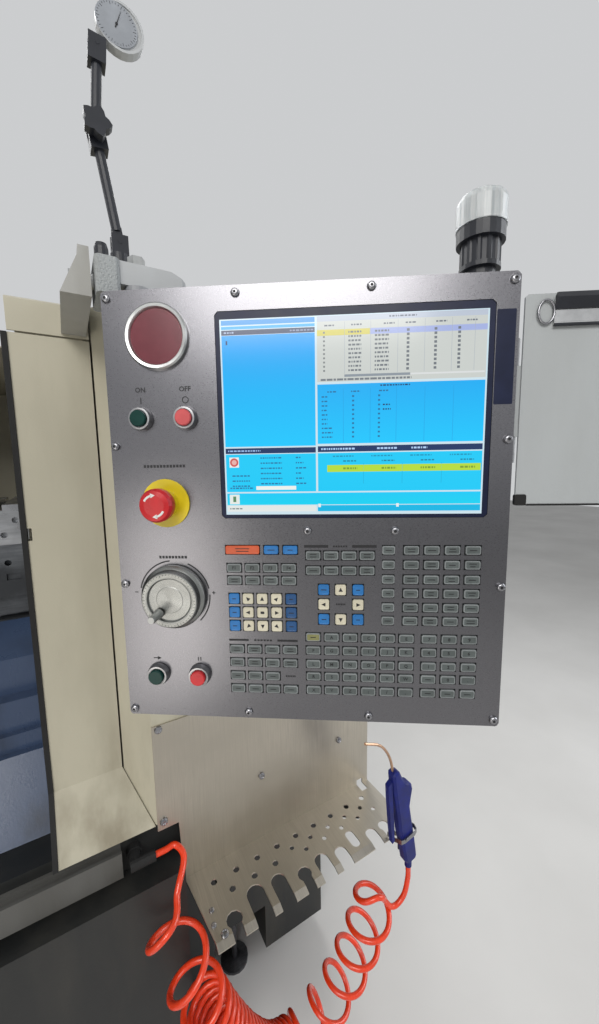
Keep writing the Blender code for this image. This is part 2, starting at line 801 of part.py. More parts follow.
def base_frame(paint, root):
    def body(bm):
        left, right = MACHINE_LEFT, COLUMN_WIDTH
        outline = (
            (left, BASE_FRONT),
            (BASE_STEP_X, BASE_FRONT),
            (BASE_STEP_X, BASE_STEP_FRONT),
            (right, BASE_STEP_FRONT),
            (right, MACHINE_REAR),
            (left, MACHINE_REAR),
        )
        prism(bm, outline, BASE_BOTTOM, BASE_TOP)

    def deck(bm):
        left, right = MACHINE_LEFT, COLUMN_WIDTH
        outline = (
            (left, DECK_FRONT),
            (DECK_STEP_X, DECK_FRONT),
            (DECK_STEP_X, DECK_RIGHT_FRONT),
            (right, DECK_RIGHT_FRONT),
            (right, MACHINE_REAR),
            (left, MACHINE_REAR),
        )
        prism(bm, outline, BASE_TOP - CUT_OVERRUN, DECK_TOP)

    def pocket(bm):
        x = (FOOT_POCKET_LEFT, FOOT_POCKET_LEFT + FOOT_POCKET_WIDTH)
        y = (BASE_STEP_FRONT - CUT_OVERRUN, BASE_STEP_FRONT + FOOT_POCKET_DEPTH)
        block(bm, x, y, (BASE_BOTTOM - CUT_OVERRUN, FOOT_POCKET_TOP))

    def stud_holes(bm):
        for x, y, seat in foot_places():
            rod(bm, (x, y), FOOT_STUD_RADIUS + GAP, seat - CUT_OVERRUN, seat + FOOT_STUD_IN_BASE + GAP, "z")

    made = node("base_frame", paint["charcoal"], body, root)
    join(made, deck)
    cut(made, pocket)
    cut(made, stud_holes)


def foot_places():
    """(x, y, height of the seat) of the four levelling feet."""
    pocket_x = FOOT_POCKET_LEFT + FOOT_POCKET_WIDTH / 2
    pocket_y = BASE_STEP_FRONT + FOOT_POCKET_DEPTH / 2
    left = MACHINE_LEFT + FOOT_INSET
    rear = MACHINE_REAR - FOOT_INSET
    return (
        (left, BASE_FRONT + FOOT_INSET, BASE_BOTTOM),
        (pocket_x, pocket_y, FOOT_POCKET_TOP),
        (left, rear, BASE_BOTTOM),
        (COLUMN_WIDTH - FOOT_INSET, rear, BASE_BOTTOM),
    )


def levelling_feet(paint, root):
    names = ("front_left", "front_right", "rear_left", "rear_right")
    for name, (x, y, seat) in zip(names, foot_places()):

        def foot(bm, seat=seat, x=x, y=y):
            profile = (
                (0, 0),
                (FOOT_PAD_RADIUS, 0),
                (FOOT_PAD_RADIUS, FOOT_PAD_EDGE),
                (FOOT_STUD_RADIUS + FOOT_PAD_EDGE, FOOT_PAD_HEIGHT),
                (FOOT_STUD_RADIUS, FOOT_PAD_HEIGHT),
                (FOOT_STUD_RADIUS, seat + FOOT_STUD_IN_BASE),
                (0, seat + FOOT_STUD_IN_BASE),
            )
            turned(bm, profile, (x, y), "z", EDGE_STEPS)

        def nut(bm, seat=seat, x=x, y=y):
            rod(bm, (x, y), FOOT_NUT_RADIUS, seat - FOOT_NUT_HEIGHT, seat - GAP, "z", 6)

        made = node(f"levelling_foot_{name}", paint["dark_steel"], foot, root, smooth=40)
        join(made, nut)


def flared_front(x_left, x_right, x_right_foot, top, bottom, crease, flare):
    """The front faces of a sheet that is upright and flares forward below its crease."""
    upper = (
        (x_left, COLUMN_BEVEL_DEPTH, crease),
        (x_right, COLUMN_BEVEL_DEPTH, crease),
        (x_right, COLUMN_BEVEL_DEPTH, top),
        (x_left, COLUMN_BEVEL_DEPTH, top),
    )
    lower = (
        (x_left, COLUMN_BEVEL_DEPTH - flare, bottom),
        (x_right_foot, COLUMN_BEVEL_DEPTH - flare, bottom),
        (x_right, COLUMN_BEVEL_DEPTH, crease),
        (x_left, COLUMN_BEVEL_DEPTH, crease),
    )
    return [upper, lower]


def front_corner_panel(paint, root):
    right = COLUMN_SIDE_X - PANEL_CLEARANCE
    top = HEADER_BOTTOM - HEADER_GAP

    def sheet(bm):
        faces = flared_front(
            PANEL_LEFT, right, -PANEL_CLEARANCE, top, PANEL_BOTTOM, PANEL_CREASE_Z, COLUMN_BEVEL_DEPTH
        )
        folded(bm, faces, (0, SHEET, 0))

    def flanges(bm):
        y = (COLUMN_BEVEL_DEPTH + CUT_OVERRUN / 4, SHELL_FRONT - GAP)
        z = (PANEL_CREASE_Z, top)
        block(bm, (PANEL_LEFT, PANEL_LEFT + SHEET), y, z)
        block(bm, (right - SHEET, right), y, z)

    def latch_notch(bm):
        z = (LATCH_Z - LATCH_HEIGHT / 2, LATCH_Z + LATCH_HEIGHT / 2)
        x = (PANEL_LEFT - CUT_OVERRUN, PANEL_LEFT + LATCH_DEPTH)
        block(bm, x, (COLUMN_BEVEL_DEPTH - CUT_OVERRUN, SHELL_FRONT), z)

    made = node("front_corner_panel", paint["cream"], sheet, root)
    join(made, flanges)
    cut(made, latch_notch)


def door_seal(paint, root):
    def strip(bm):
        top = HEADER_BOTTOM - HEADER_GAP
        left = PANEL_LEFT - SEAL_WIDTH
        right = PANEL_LEFT - GAP
        faces = flared_front(left, right, right, top, PANEL_BOTTOM, PANEL_CREASE_Z, COLUMN_BEVEL_DEPTH)
        faces = [[(x, y - SEAL_PROUD, z) for x, y, z in face] for face in faces]
        folded(bm, faces, (0, SEAL_DEPTH, 0))

    node("door_seal", paint["rubber"], strip, root)


def header_panel(paint, root):
    def sheet(bm):
        front = COLUMN_BEVEL_DEPTH
        rear = front + HEADER_REACH
        outline = (
            (front, HEADER_BOTTOM),
            (front + SHEET, HEADER_BOTTOM),
            (front + SHEET, MACHINE_TOP - SHEET),
            (rear - SHEET, MACHINE_TOP - SHEET),
            (rear - SHEET, SHELL_TOP + GAP),
            (rear, SHELL_TOP + GAP),
            (rear, MACHINE_TOP),
            (front + SHEET, MACHINE_TOP),
            (front, MACHINE_TOP - SHEET),
        )
        prism(bm, outline, PANEL_LEFT, COLUMN_SIDE_X - PANEL_CLEARANCE, "x")

    node("header_panel", paint["cream"], sheet, root)


def enclosure_shell(paint, root):
    right = COLUMN_SIDE_X - PANEL_CLEARANCE
    x, y, z = (MACHINE_LEFT, right), (SHELL_FRONT, MACHINE_REAR), (COLUMN_BOTTOM, SHELL_TOP)

    def outer(bm):
        block(bm, x, y, z)

    def inner(bm):
        block(
            bm,
            (x[0] + SHEET, x[1] - SHEET),
            (y[0] + SHEET, y[1] - SHEET),
            (z[0] - CUT_OVERRUN, z[1] - SHEET),
        )

    def front_opening(bm):
        block(
            bm,
            (OPENING_LEFT, x[1] - SHEET),
            (y[0] - CUT_OVERRUN, y[0] + SHEET + CUT_OVERRUN),
            (z[0] - CUT_OVERRUN, z[1] - SHEET),
        )

    def roof_opening(bm):
        block(
            bm,
            (OPENING_LEFT, PANEL_LEFT),
            (y[0] - CUT_OVERRUN, y[0] + ROOF_OPENING_DEPTH),
            (z[1] - SHEET - CUT_OVERRUN, z[1] + CUT_OVERRUN),
        )

    made = node("enclosure_shell", paint["cream"], outer, root)
    for shape in (inner, front_opening, roof_opening):
        cut(made, shape)


def control_column(paint, root):
    outline = (
        (0, 0),
        (COLUMN_WIDTH, 0),
        (COLUMN_WIDTH, MACHINE_REAR),
        (COLUMN_SIDE_X, MACHINE_REAR),
        (COLUMN_SIDE_X, COLUMN_BEVEL_DEPTH),
    )

    def body(bm):
        prism(bm, outline, COLUMN_BOTTOM, MACHINE_TOP)

    def slots(bm):
        turn = math.atan2(-COLUMN_BEVEL_DEPTH, -COLUMN_SIDE_X)
        for height, share in zip(COLUMN_SLOT_HEIGHTS, COLUMN_SLOT_ALONG_SHARES):
            centre = Vector((COLUMN_SIDE_X * share, COLUMN_BEVEL_DEPTH * share, height))
            place = Matrix.Translation(centre) @ Matrix.Rotation(turn, 4, "Z")
            size = Matrix.Diagonal((COLUMN_SLOT_WIDTH, 2 * COLUMN_SLOT_DEPTH, COLUMN_SLOT_HEIGHT, 1))
            bmesh.ops.create_cube(bm, size=1, matrix=place @ size)

    made = node("control_column", paint["cream"], body, root)
    cut(made, slots)


def door_rail(paint, root):
    def profile(bm):
        rear = DECK_FRONT - GAP
        outline = (
            (RAIL_FRONT, RAIL_BOTTOM),
            (rear, RAIL_BOTTOM),
            (rear, RAIL_TOP),
            (rear - RAIL_WALL, RAIL_TOP),
            (rear - RAIL_WALL, RAIL_TOP - RAIL_LIP),
            (RAIL_FRONT + RAIL_WALL, RAIL_TOP - RAIL_LIP),
            (RAIL_FRONT + RAIL_WALL, RAIL_TOP),
            (RAIL_FRONT, RAIL_TOP),
        )
        prism(bm, outline, MACHINE_LEFT, RAIL_RIGHT, "x")

    node("door_rail", paint["grey"], profile, root)


def door_limits():
    """(left, right) of the door where it stands open at rest."""
    closed_right = PANEL_LEFT - SEAL_WIDTH - DOOR_SEAL_CLEARANCE
    right = closed_right - DOOR_TRAVEL
    return right - DOOR_WIDTH, right


def sliding_door(paint, root):
    left, right = door_limits()
    centre = (left + right) / 2
    front = COLUMN_BEVEL_DEPTH
    foot = front - COLUMN_BEVEL_DEPTH + PANEL_CLEARANCE

    def section(depth):
        """The bent section in (y, z): front sheet flared at its foot, top turned back over the roof."""
        return (
            (foot, DOOR_BOTTOM),
            (front, PANEL_CREASE_Z),
            (front, DOOR_TOP - depth),
            (front + depth, DOOR_TOP),
            (front + DOOR_ROOF_REACH, DOOR_TOP),
            (front + DOOR_ROOF_REACH, DOOR_TOP - SHEET),
            (front + depth, DOOR_TOP - SHEET),
            (front + SHEET, DOOR_TOP - SHEET - depth),
            (front + SHEET, PANEL_CREASE_Z),
            (foot + SHEET, DOOR_BOTTOM),
        )

    def sheet(bm):
        prism(bm, section(DOOR_FLANGE), left, right, "x")

    def side_flange(x_low):
        def fill(bm):
            outline = (
                (foot + SHEET / 2, DOOR_BOTTOM),
                (front + SHEET / 2, PANEL_CREASE_Z),
                (front + SHEET / 2, SHELL_TOP - DOOR_FLANGE),
                (front + DOOR_DEPTH, SHELL_TOP - DOOR_FLANGE),
                (front + DOOR_DEPTH, PANEL_CREASE_Z),
                (foot + DOOR_DEPTH, DOOR_BOTTOM),
            )
            prism(bm, outline, x_low, x_low + SHEET, "x")

        return fill

    def opening(bm):
        x = (centre - WINDOW_WIDTH / 2, centre + WINDOW_WIDTH / 2)
        z = (WINDOW_CENTRE_Z - WINDOW_HEIGHT / 2, WINDOW_CENTRE_Z + WINDOW_HEIGHT / 2)
        prism(bm, chamfered(x, z, WINDOW_CORNER), front - CUT_OVERRUN, front + SHEET + CUT_OVERRUN, "y")

    def shoes(x_centre):
        def fill(bm):
            x = (x_centre - DOOR_SHOE_LENGTH / 2, x_centre + DOOR_SHOE_LENGTH / 2)
            y = (RAIL_FRONT + RAIL_WALL + GAP, DECK_FRONT - RAIL_WALL - 2 * GAP)
            block(bm, x, y, (RAIL_TOP - RAIL_LIP + GAP, DOOR_BOTTOM + SHEET))

        return fill

    made = node("sliding_door", paint["cream"], sheet, root)
    join(made, side_flange(left))
    join(made, side_flange(right - SHEET))
    inset = DOOR_SHOE_INSET + DOOR_SHOE_LENGTH / 2
    join(made, shoes(left + inset))
    join(made, shoes(right - inset))
    cut(made, opening)


def door_window(paint, root):
    left, right = door_limits()
    centre = (left + right) / 2

    def pane(bm):
        half_x = WINDOW_WIDTH / 2 + WINDOW_LAP
        half_z = WINDOW_HEIGHT / 2 + WINDOW_LAP
        x = (centre - half_x, centre + half_x)
        z = (WINDOW_CENTRE_Z - half_z, WINDOW_CENTRE_Z + half_z)
        back = COLUMN_BEVEL_DEPTH + SHEET + GAP
        prism(bm, chamfered(x, z, WINDOW_CORNER), back, back + WINDOW_THICKNESS, "y")

    node("door_window", paint["glass"], pane, root)


def door_handle(paint, root):
    right = door_limits()[1]
    x = right - HANDLE_INSET
    low = HANDLE_CENTRE_Z - HANDLE_LENGTH / 2
    high = HANDLE_CENTRE_Z + HANDLE_LENGTH / 2
    bar_y = COLUMN_BEVEL_DEPTH - HANDLE_STANDOFF

    def bar(bm):
        rod(bm, (x, bar_y), HANDLE_RADIUS, low, high, "z", ROUND_STEPS)

    def post(height):
        def fill(bm):
            rod(bm, (x, height), HANDLE_POST_RADIUS, bar_y, COLUMN_BEVEL_DEPTH - GAP, "y", SMALL_STEPS)

        return fill

    made = node("door_handle", paint["plastic"], bar, root, smooth=40)
    join(made, post(low + HANDLE_POST_INSET))
    join(made, post(high - HANDLE_POST_INSET))


def way_cover(paint, root):
    def steps(bm):
        y, z = SHELL_FRONT + SHEET + COVER_CLEARANCE, COLUMN_BOTTOM
        outline = [(y, z)]
        for index, (depth, height) in enumerate(zip(COVER_STEP_DEPTHS, COVER_STEP_HEIGHTS)):
            if index in (0, len(COVER_STEP_DEPTHS) - 1):
                y, z = y + depth, z + height
                outline.append((y, z))
            else:
                y += depth
                outline.append((y, z))
                z += height
                outline.append((y, z))
        outline.append((y, COLUMN_BOTTOM))
        prism(bm, outline, COVER_LEFT, COVER_RIGHT, "x")

    node("way_cover", paint["blue_grey"], steps, root)


def bed(paint, root):
    def body(bm):
        outline = (
            (BED_FRONT, COLUMN_BOTTOM),
            (BED_REAR + BED_FOOT, COLUMN_BOTTOM),
            (BED_REAR, COLUMN_BOTTOM + BED_FOOT),
            (BED_REAR, BED_TOP),
            (BED_FRONT, BED_TOP),
        )
        prism(bm, outline, COVER_LEFT, WAY_RIGHT, "x")

    def way(y_centre):
        def fill(bm):
            half = WAY_WIDTH / 2
            neck = half * WAY_NECK_SHARE
            top = BED_TOP + WAY_HEIGHT
            mid = BED_TOP + WAY_HEIGHT / 2
            outline = (
                (y_centre - half, BED_TOP - CUT_OVERRUN),
                (y_centre + half, BED_TOP - CUT_OVERRUN),
                (y_centre + neck, mid),
                (y_centre + half, top),
                (y_centre - half, top),
                (y_centre - neck, mid),
            )
            prism(bm, outline, HEADSTOCK_RIGHT + BED_FOOT, WAY_RIGHT, "x")

        return fill

    made = node("bed", paint["grey"], body, root)
    for place in (BED_FRONT + WAY_INSET, BED_REAR - WAY_INSET):
        join(made, way(place))


def headstock(paint, root):
    def body(bm):
        front, rear, top = HEADSTOCK_FRONT, HEADSTOCK_REAR, HEADSTOCK_TOP
        bottom = BED_TOP + GAP
        outline = (
            (front, bottom),
            (rear, bottom),
            (rear, top),
            (front + HEADSTOCK_CHAMFER, top),
            (front, top - HEADSTOCK_CHAMFER),
        )
        prism(bm, outline, HEADSTOCK_LEFT, HEADSTOCK_RIGHT, "x")

    def bore(bm):
        low = HEADSTOCK_RIGHT - SPINDLE_BORE_DEPTH
        radius = SPINDLE_NOSE_RADIUS + SPINDLE_CLEARANCE
        rod(bm, (SPINDLE_Y, SPINDLE_Z), radius, low, HEADSTOCK_RIGHT + CUT_OVERRUN, "x", SPINDLE_STEPS)

    made = node("headstock", paint["grey"], body, root)
    cut(made, bore)


def spindle_nose(paint, root):
    seat = HEADSTOCK_RIGHT - SPINDLE_BORE_DEPTH + GAP
    face = HEADSTOCK_RIGHT + SPINDLE_NOSE_LENGTH
    tip = face + SPINDLE_CAP_LENGTH

    def body(bm):
        profile = (
            (COLLET_RADIUS + GAP, seat),
            (SPINDLE_NOSE_RADIUS, seat),
            (SPINDLE_NOSE_RADIUS, face),
            (SPINDLE_CAP_RADIUS, face),
            (SPINDLE_CAP_RADIUS, tip - SPINDLE_CAP_LENGTH / 4),
            (SPINDLE_CAP_RADIUS - SPINDLE_CAP_LENGTH / 4, tip),
            (COLLET_RADIUS + GAP, tip),
        )
        turned_ring(bm, profile, (SPINDLE_Y, SPINDLE_Z), "x", SPINDLE_STEPS)

    origin = (HEADSTOCK_RIGHT, SPINDLE_Y, SPINDLE_Z)
    node("spindle_nose", paint["dark_steel"], body, root, origin, smooth=40)


def collet(paint, root):
    tip = HEADSTOCK_RIGHT + SPINDLE_NOSE_LENGTH + SPINDLE_CAP_LENGTH + COLLET_PROUD

    def body(bm):
        profile = (
            (COLLET_BORE_RADIUS, tip - COLLET_LENGTH),
            (COLLET_RADIUS, tip - COLLET_LENGTH),
            (COLLET_RADIUS, tip - COLLET_PROUD / 3),
            (COLLET_RADIUS - COLLET_PROUD / 3, tip),
            (COLLET_BORE_RADIUS, tip),
        )
        turned_ring(bm, profile, (SPINDLE_Y, SPINDLE_Z), "x", ROUND_STEPS)

    def slot(turn):
        def fill(bm):
            centre = Vector((tip, SPINDLE_Y, SPINDLE_Z))
            out = Vector((0, math.cos(turn), math.sin(turn))) * (COLLET_RADIUS / 2 + CUT_OVERRUN)
            size = Matrix.Diagonal((COLLET_LENGTH, COLLET_RADIUS + CUT_OVERRUN, COLLET_SLOT, 1))
            place = Matrix.Translation(centre + out) @ Matrix.Rotation(turn, 4, "X")
            bmesh.ops.create_cube(bm, size=1, matrix=place @ size)

        return fill

    origin = (tip - COLLET_LENGTH, SPINDLE_Y, SPINDLE_Z)
    made = node("collet", paint["steel"], body, root, origin, smooth=40)
    for third in range(3):
        cut(made, slot(math.radians(90 + 120 * third)))


def carriage(paint, root):
    bottom = BED_TOP + WAY_HEIGHT + TRUCK_CLEARANCE
    ways = (BED_FRONT + WAY_INSET, BED_REAR - WAY_INSET)

    def plate(bm):
        y = (BED_FRONT - SHEET, BED_REAR)
        block(bm, (CARRIAGE_LEFT, CARRIAGE_RIGHT), y, (CARRIAGE_TOP - CARRIAGE_PLATE, CARRIAGE_TOP))

    def truck(way_y, x_low):
        def fill(bm):
            half = WAY_WIDTH / 2
            wall = half + TRUCK_WALL
            neck = half * WAY_NECK_SHARE + TRUCK_CLEARANCE
            edge = half + TRUCK_CLEARANCE
            mid = BED_TOP + WAY_HEIGHT / 2
            foot = mid - WAY_HEIGHT / 4
            outline = [(way_y - wall, foot), (way_y - neck - WAY_HEIGHT / 8, foot), (way_y - neck, mid)]
            outline += [(way_y - edge, bottom), (way_y + edge, bottom), (way_y + neck, mid)]
            outline += [(way_y + neck + WAY_HEIGHT / 8, foot), (way_y + wall, foot)]
            top = CARRIAGE_TOP - CARRIAGE_PLATE / 2
            outline += [(way_y + wall, top), (way_y - wall, top)]
            prism(bm, outline, x_low, x_low + TRUCK_LENGTH, "x")

        return fill

    def cross_way(x_centre):
        def fill(bm):
            x = (x_centre - CROSS_WAY_WIDTH / 2, x_centre + CROSS_WAY_WIDTH / 2)
            z = (CARRIAGE_TOP - CUT_OVERRUN, CARRIAGE_TOP + CROSS_WAY_HEIGHT)
            block(bm, x, (BED_FRONT, BED_REAR - SHEET), z)

        return fill

    made = node("carriage", paint["grey"], plate, root)
    for way_y in ways:
        for x_low in (CARRIAGE_LEFT, CARRIAGE_RIGHT - TRUCK_LENGTH):
            join(made, truck(way_y, x_low))
    for x_centre in (CARRIAGE_LEFT + CROSS_WAY_INSET, CARRIAGE_RIGHT - CROSS_WAY_INSET):
        join(made, cross_way(x_centre))


def cross_slide(paint, root):
    bottom = CARRIAGE_TOP + GAP

    def body(bm):
        block(bm, (CROSS_LEFT, CROSS_RIGHT), (CROSS_FRONT, CROSS_REAR), (bottom, CROSS_TOP))

    def channels(bm):
        for x_centre in (CARRIAGE_LEFT + CROSS_WAY_INSET, CARRIAGE_RIGHT - CROSS_WAY_INSET):
            half = CROSS_WAY_WIDTH / 2 + TRUCK_CLEARANCE
            y = (CROSS_FRONT - CUT_OVERRUN, CROSS_REAR + CUT_OVERRUN)
            z = (bottom - CUT_OVERRUN, CARRIAGE_TOP + CROSS_WAY_HEIGHT + GAP)
            block(bm, (x_centre - half, x_centre + half), y, z)

    def holes(bm):
        tapped_holes(bm, CROSS_FRONT, (bottom + CROSS_TOP) / 2, CROSS_LEFT, CROSS_RIGHT, 0.5)

    made = node("cross_slide", paint["grey"], body, root)
    cut(made, channels)
    cut(made, holes)


def tapped_holes(bm, front, height, left, right, shift_share):
    """A row of blind holes in a front face, along x."""
    count = int((right - left) / TOOL_HOLE_PITCH - shift_share)
    start = right - TOOL_HOLE_PITCH * (0.5 + shift_share)
    for i in range(count):
        centre = (start - i * TOOL_HOLE_PITCH, height)
        rod(bm, centre, TOOL_HOLE_RADIUS, front - CUT_OVERRUN, front + TOOL_HOLE_DEPTH, "y", SCREW_STEPS)


def tool_block(paint, root):
    bottom = CROSS_TOP + GAP
    left, right = TOOL_BLOCK_LEFT, TOOL_BLOCK_RIGHT
    y = (TOOL_BLOCK_FRONT, TOOL_BLOCK_REAR)

    def body(bm):
        block(bm, (left, right), y, (bottom, TOOL_BLOCK_TOP))

    def slots(bm):
        pitch = (right - left) / TOOL_SLOT_COUNT
        for i in range(TOOL_SLOT_COUNT):
            centre = left + pitch * (i + 0.5)
            x = (centre - TOOL_SLOT_WIDTH / 2, centre + TOOL_SLOT_WIDTH / 2)
            along = (y[0] - CUT_OVERRUN, y[1] + CUT_OVERRUN)
            block(bm, x, along, (TOOL_BLOCK_TOP - TOOL_SLOT_DEPTH, TOOL_BLOCK_TOP + CUT_OVERRUN))

    def holes(bm):
        middle = (bottom + TOOL_BLOCK_TOP - TOOL_SLOT_DEPTH) / 2
        tapped_holes(bm, y[0], middle + TOOL_HOLE_ROW / 2, left, right, 0)
        tapped_holes(bm, y[0], middle - TOOL_HOLE_ROW / 2, left, right, 0.5)

    made = node("tool_block", paint["steel"], body, root)
    cut(made, slots)
    cut(made, holes)


def holder_x():
    """(left, right) of the tool holder, over the tool block's left slot."""
    pitch = (TOOL_BLOCK_RIGHT - TOOL_BLOCK_LEFT) / TOOL_SLOT_COUNT
    centre = TOOL_BLOCK_LEFT + pitch / 2
    return centre - HOLDER_WIDTH / 2, centre + HOLDER_WIDTH / 2


def tool_holder(paint, root):
    x = holder_x()
    y = (SPINDLE_Y - HOLDER_LENGTH / 2, SPINDLE_Y + HOLDER_LENGTH / 2)
    z = (TOOL_BLOCK_TOP + GAP, HOLDER_TOP)

    def body(bm):
        block(bm, x, y, z)

    def groove(bm):
        half = HOLDER_GROOVE / 2
        groove_z = (SPINDLE_Z - SHANK_SIZE - GAP, SPINDLE_Z + GAP)
        block(bm, (x[0] - CUT_OVERRUN, x[1] + CUT_OVERRUN), (SPINDLE_Y - half, SPINDLE_Y + half), groove_z)

    made = node("tool_holder", paint["dark_steel"], body, root)
    cut(made, groove)


def turning_tool(paint, root):
    x_left = holder_x()[0] - SHANK_REACH
    y = (SPINDLE_Y - SHANK_SIZE / 2, SPINDLE_Y + SHANK_SIZE / 2)
    z = (SPINDLE_Z - SHANK_SIZE, SPINDLE_Z)

    def shank(bm):
        outline = (
            (x_left, y[0] - SHANK_SIZE / 4),
            (x_left + SHANK_SIZE, y[0]),
            (x_left + SHANK_LENGTH, y[0]),
            (x_left + SHANK_LENGTH, y[1]),
            (x_left + SHANK_SIZE, y[1]),
        )
        prism(bm, outline, *z)

    def seat(bm):
        place = Matrix.Translation((x_left, y[0], z[1]))
        size = Matrix.Diagonal((INSERT_SIZE, INSERT_SIZE, INSERT_SIZE / 2, 1))
        bmesh.ops.create_cube(bm, size=1, matrix=place @ Matrix.Rotation(math.radians(40), 4, "Z") @ size)

    made = node("turning_tool", paint["black"], shank, root)
    join(made, seat)


def tool_tray(paint, root):
    back = -GAP
    front = back - TRAY_THICKNESS
    top = TRAY_FOLD_Z + TRAY_THICKNESS

    def back_plate(bm):
        outline = (
            (0, TRAY_NOTCH_Z),
            (TRAY_NOTCH_X, TRAY_NOTCH_Z),
            (TRAY_FOLD_LEFT, TRAY_FOLD_Z),
            (COLUMN_WIDTH, TRAY_FOLD_Z),
            (COLUMN_WIDTH, TRAY_PLATE_TOP),
            (0, TRAY_PLATE_TOP),
        )
        prism(bm, outline, front, back, "y")

    def shelf(bm):
        outline = (
            (TRAY_FOLD_LEFT, back),
            (TRAY_FRONT_LEFT, -TRAY_DEPTH + TRAY_LIP),
            (COLUMN_WIDTH - TRAY_CHAMFER_X, -TRAY_DEPTH + TRAY_LIP),
            (COLUMN_WIDTH, -TRAY_DEPTH + TRAY_CHAMFER_Y),
            (COLUMN_WIDTH, back),
        )
        prism(bm, outline, TRAY_FOLD_Z, top)

    def lip(bm):
        y = -TRAY_DEPTH + TRAY_LIP
        outline = (
            (y + CUT_OVERRUN, TRAY_FOLD_Z),
            (y + CUT_OVERRUN, top),
            (y, top),
            (-TRAY_DEPTH, top - TRAY_LIP_DROP),
            (-TRAY_DEPTH, TRAY_FOLD_Z - TRAY_LIP_DROP),
            (y, TRAY_FOLD_Z),
        )
        prism(bm, outline, TRAY_FRONT_LEFT, COLUMN_WIDTH - TRAY_CHAMFER_X, "x")

    low = TRAY_FOLD_Z - TRAY_LIP_DROP - CUT_OVERRUN
    high = top + CUT_OVERRUN

    def holes(bm):
        rows = zip(TRAY_ROW_DEPTHS, TRAY_ROW_STARTS, TRAY_ROW_COUNTS)
        for index, (depth, start, count) in enumerate(rows):
            radius = TRAY_HOLE_RADIUS if index < 2 else TRAY_SMALL_RADIUS
            for i in range(count):
                rod(bm, (start + i * TRAY_PITCH, -depth), radius, low, high, "z", SCREW_STEPS)

    def slots(bm):
        for centre, head, radius, throat in zip(
            TRAY_SLOT_CENTRES, TRAY_SLOT_HEADS, TRAY_SLOT_RADII, TRAY_THROAT_SHARES
        ):
            prism(bm, slot_outline(centre, -head, radius, radius * throat), low, high)

    def oval(bm):
        half = TRAY_OVAL_LENGTH / 2
        outline = circle((TRAY_OVAL_X, half - TRAY_OVAL_Y), TRAY_OVAL_RADIUS, SMALL_STEPS)
        upper = [(x, y) for x, y in outline if y >= half - TRAY_OVAL_Y - GAP]
        lower = [(x, -2 * TRAY_OVAL_Y - y) for x, y in reversed(upper)]
        prism(bm, upper + lower, low, high)

    def hand_hole(bm):
        x = (TRAY_HAND_X - TRAY_HAND_RADIUS, TRAY_HAND_X + TRAY_HAND_RADIUS)
        block(bm, x, (-TRAY_HAND_DEPTH, CUT_OVERRUN), (low, TRAY_FOLD_Z + TRAY_HAND_RISE))

    def screws(bm):
        for x, z in TRAY_PLATE_SCREWS:
            low_y = front - TRAY_SCREW_HEIGHT
            rod(bm, (x, z), TRAY_SCREW_RADIUS, low_y, front + TRAY_THICKNESS / 2, "y", SCREW_STEPS)
        shelf_top = top - TRAY_THICKNESS / 2
        for x, y in TRAY_RIVETS:
            rod(bm, (x, -y), TRAY_RIVET_RADIUS, shelf_top, top + TRAY_SCREW_HEIGHT / 2, "z", SCREW_STEPS)
        x, y = TRAY_CORNER_SCREW
        rod(bm, (x, -y), TRAY_SCREW_RADIUS, shelf_top, top + TRAY_SCREW_HEIGHT, "z", SCREW_STEPS)

    made = node("tool_tray", paint["steel"], back_plate, root)
    for shape in (shelf, lip):
        join(made, shape)
    for shape in (holes, slots, oval, hand_hole):
        cut(made, shape)
    join(made, screws)


def slot_outline(centre, head, radius, throat):
    """A slot with a round head that opens to the tray's front through a throat of its own half width."""
    steps = SCREW_STEPS
    meet = math.asin(min(1, throat / radius))
    points = []
    for i in range(steps + 1):
        angle = -math.pi / 2 + meet + (2 * math.pi - 2 * meet) * i / steps
        points.append((centre + radius * math.cos(angle), head + radius * math.sin(angle)))
    front = -TRAY_DEPTH - CUT_OVERRUN
    return points + [(centre - throat, front), (centre + throat, front)]


def tray_bracket(paint, root):
    """A folded bracket behind the tray's back plate, with two arms under the tray."""
    under = TRAY_FOLD_Z - GAP

    def web(bm):
        x = (BRACKET_LEFT, BRACKET_RIGHT)
        block(bm, x, (GAP, DECK_RIGHT_FRONT - GAP), (BRACKET_BOTTOM, BRACKET_TOP))

    def arm(x_left):
        def fill(bm):
            reach = -TRAY_HAND_DEPTH - BRACKET_ARM_REACH / 2
            outline = (
                (BRACKET_WALL / 2, BRACKET_BOTTOM),
                (BRACKET_WALL / 2, under),
                (reach, under),
                (reach, under - BRACKET_ARM_DROP / 2),
            )
            prism(bm, outline, x_left, x_left + BRACKET_ARM_WIDTH, "x")

        return fill

    def foot(bm):
        x = (BRACKET_LEFT, BRACKET_RIGHT)
        y = (BRACKET_WALL / 2, BASE_STEP_FRONT - GAP)
        block(bm, x, y, (BRACKET_BOTTOM, BRACKET_BOTTOM + BRACKET_WALL))

    made = node("tray_bracket", paint["charcoal"], web, root)
    join(made, arm(BRACKET_LEFT))
    join(made, arm(BRACKET_RIGHT - BRACKET_ARM_WIDTH))
    join(made, foot)


def hose_fitting(paint, root):
    y = FITTING_ELBOW_Y

    def stem(bm):
        rod(bm, (FITTING_X, FITTING_Z), FITTING_RADIUS, y, DECK_FRONT - GAP, "y", SMALL_STEPS)

    def nut(bm):
        low = DECK_FRONT - GAP - FITTING_NUT_LENGTH
        rod(bm, (FITTING_X, FITTING_Z), FITTING_NUT_RADIUS, low, DECK_FRONT - GAP, "y", 6)

    def elbow(bm):
        start = FITTING_X - FITTING_RADIUS
        rod(bm, (y, FITTING_Z), FITTING_RADIUS, start, FITTING_X + FITTING_LENGTH, "x", SMALL_STEPS)

    made = node("hose_fitting", paint["rubber"], stem, root)
    join(made, nut)
    join(made, elbow)


